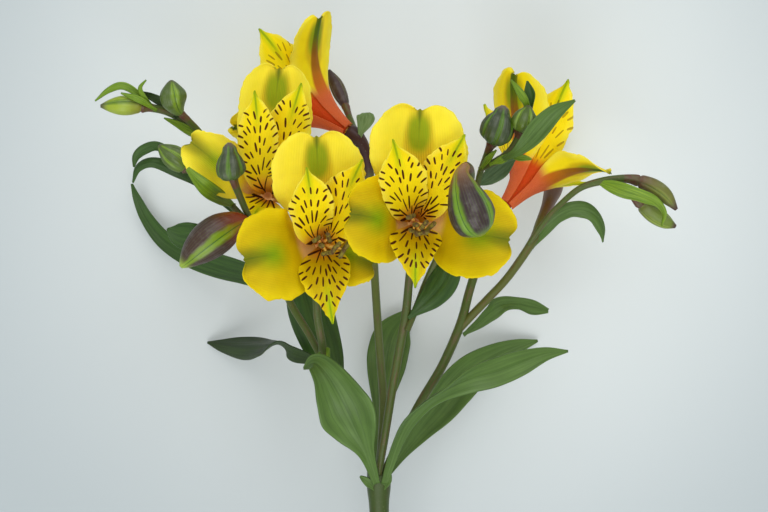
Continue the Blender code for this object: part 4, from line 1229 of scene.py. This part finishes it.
def stem_look(name, green, brown, share, ripe=None):
    """Green skin with brown streaks and pale specks; a ripe one turns to a dark colour from a section on."""
    made, nodes, shader = new_look(name, 0.45, 0.35)
    around, _, _ = nodes.parts(None)
    mm, section, _ = nodes.parts("place")
    space = nodes.space()
    vector = nodes.vector(nodes.times(around, 9.0), nodes.times(mm, 0.12))
    streak = nodes.rise(nodes.noise(vector, 1.5, 4), 0.62 - share, 0.8 - share)
    colour = nodes.blend(streak, green, brown)
    if ripe:
        start, dark = ripe
        colour = nodes.blend(nodes.rise(section, start, start + 0.12), colour, dark)
    specks = nodes.rise(nodes.noise(space, 2200.0), 0.62, 0.75)
    colour = nodes.blend(nodes.times(specks, 0.35), colour, shade(128, 136, 90))
    nodes.put(shader.inputs["Base Color"], colour)
    bump(nodes, shader, nodes.noise(vector, 4.0, 3), 0.1, 0.5)
    return made


def bud_look(name, lobe_colour, seam_colour, tip_colour, base_colour, twist, folds):
    """A closed bud: folds with dark lobes, pale seams between them and fine lines along."""
    made, nodes, shader = new_look(name, 0.38)
    around, _, _ = nodes.parts(None)
    _, section, _ = nodes.parts("place")
    space = nodes.space()
    turn = nodes.calc("FRACT", nodes.times_plus(around, float(folds), folds * twist / 360))
    edge = nodes.calc("SUBTRACT", 0.5, nodes.calc("ABSOLUTE", nodes.calc("SUBTRACT", turn, 0.5)))
    blur = nodes.times_plus(nodes.noise(space, 250.0), 0.16, -0.08)
    colour = nodes.blend(nodes.rise(nodes.calc("ADD", edge, blur), 0.08, 0.22), seam_colour, lobe_colour)
    lines = nodes.group("Fine_Lines", Across=around, Count=42.0, Width=0.3, Wander=0.4, Vector=space)
    colour = nodes.blend(nodes.times(lines, 0.1), colour, seam_colour)
    colour = nodes.blend(nodes.rise(section, 2.45, 2.0), colour, base_colour)
    colour = nodes.blend(nodes.rise(section, 2.75, 2.98), colour, tip_colour)
    colour = nodes.blend(nodes.rise(edge, 0.03, 0.0), colour, DARK_GREEN)
    bloom = nodes.rise(nodes.noise(space, 500.0, 4), 0.45, 0.75)
    colour = nodes.blend(nodes.times(bloom, 0.1), colour, shade(170, 168, 160))
    nodes.put(shader.inputs["Base Color"], colour)
    bump(nodes, shader, lines, 0.06, 0.6)
    return made


def plain_look(name, first, second, scale, roughness):
    """Two colours in a fine grain."""
    made, nodes, shader = new_look(name, roughness)
    grain = nodes.noise(nodes.space(), scale, 3)
    nodes.put(shader.inputs["Base Color"], nodes.blend(nodes.rise(grain, 0.35, 0.65), first, second))
    bump(nodes, shader, grain, 0.1, 0.5)
    return made


def make_looks():
    plum, rust = (0.6, shade(58, 28, 26)), (0.42, shade(92, 58, 36))
    looks = {
        "main_skin": stem_look("main_skin", shade(54, 72, 16), shade(62, 62, 22), 0.1),
        "ray_skin": stem_look("ray_skin", shade(72, 88, 28), shade(92, 80, 44), 0.14),
        "plum_skin": stem_look("plum_skin", shade(92, 104, 46), shade(100, 92, 56), 0.1, plum),
        "rust_skin": stem_look("rust_skin", shade(86, 92, 34), shade(96, 76, 40), 0.1, rust),
        "ovary_skin": plain_look("ovary_skin", shade(88, 78, 36), shade(92, 50, 34), 600.0, 0.45),
        "crown": plain_look("crown", shade(250, 196, 120), shade(236, 160, 80), 500.0, 0.6),
        "filament": plain_look("filament", shade(236, 206, 110), shade(240, 180, 90), 400.0, 0.45),
        "anther": plain_look("anther", shade(78, 50, 12), shade(124, 112, 20), 900.0, 0.8),
    }
    for tone, (dark, light, veins) in LEAF_COLOURS.items():
        under = [tuple(0.8 * part for part in colour) for colour in (dark, light, veins)]
        looks[tone] = [leaf_look(f"leaf_{tone}_face", dark, light, veins, 0.42),
                       leaf_look(f"leaf_{tone}_back", *under, 0.36)]
    for name, colours in BUD_COLOURS.items():
        looks[name] = bud_look(f"{name}_look", *colours, *BUD_HEADS[name][2:])
    return looks


def make_stage():
    """The table, the light and the camera that looks straight down on it."""
    work = bmesh.new()
    bmesh.ops.create_grid(work, x_segments=1, y_segments=1, size=TABLE_HALF)
    data = bpy.data.meshes.new("table")
    work.to_mesh(data)
    work.free()
    table = bpy.data.objects.new("table", data)
    table.location.z = -TABLE_DROP
    bpy.context.scene.collection.objects.link(table)
    look, nodes, shader = new_look("table_top", 0.9, 0.1)
    # Painted light and shade: the table is lighter round its middle and darker towards its edges
    away = nodes.add("VectorMath", nodes.space(), TABLE_LIGHT_POOL, operation="DISTANCE").outputs["Value"]
    colour = nodes.blend(nodes.rise(away, *TABLE_LIGHT_FADE), shade(222, 227, 226), shade(176, 184, 186))
    nodes.put(shader.inputs["Base Color"], colour)
    data.materials.append(look)
    world = bpy.data.worlds.new("studio")
    world.use_nodes = True
    sky = world.node_tree.nodes["Background"]
    sky.inputs["Color"].default_value = SKY
    sky.inputs["Strength"].default_value = SKY_STRENGTH
    bpy.context.scene.world = world
    for name, lamp in LAMPS.items():
        add_lamp(name, *lamp)
    data = bpy.data.cameras.new("camera")
    data.lens = SENSOR_WIDTH * SIGHT_HEIGHT / VIEW_WIDTH
    data.sensor_width = SENSOR_WIDTH
    camera = bpy.data.objects.new("camera", data)
    camera.location = (Vector((0, 0, SIGHT_PLANE + SIGHT_HEIGHT)) - Vector(BOX_MIDDLE)) * MM
    bpy.context.scene.collection.objects.link(camera)
    bpy.context.scene.camera = camera
    bpy.context.scene.view_settings.view_transform = "Standard"


def add_lamp(name, place, size, power):
    data = bpy.data.lights.new(name, "AREA")
    data.shape = "DISK"
    data.size = size
    data.energy = power
    lamp = bpy.data.objects.new(name, data)
    lamp.location = place
    lamp.rotation_euler = (Vector(place) - Vector(LAMP_TARGET)).to_track_quat("Z", "Y").to_euler()
    bpy.context.scene.collection.objects.link(lamp)


random.seed(7)
make_groups()
looks = make_looks()
make_stage()
make_stems(looks)
make_buds(looks)
make_leaves(looks)
make_flowers()
make_stamens(looks)
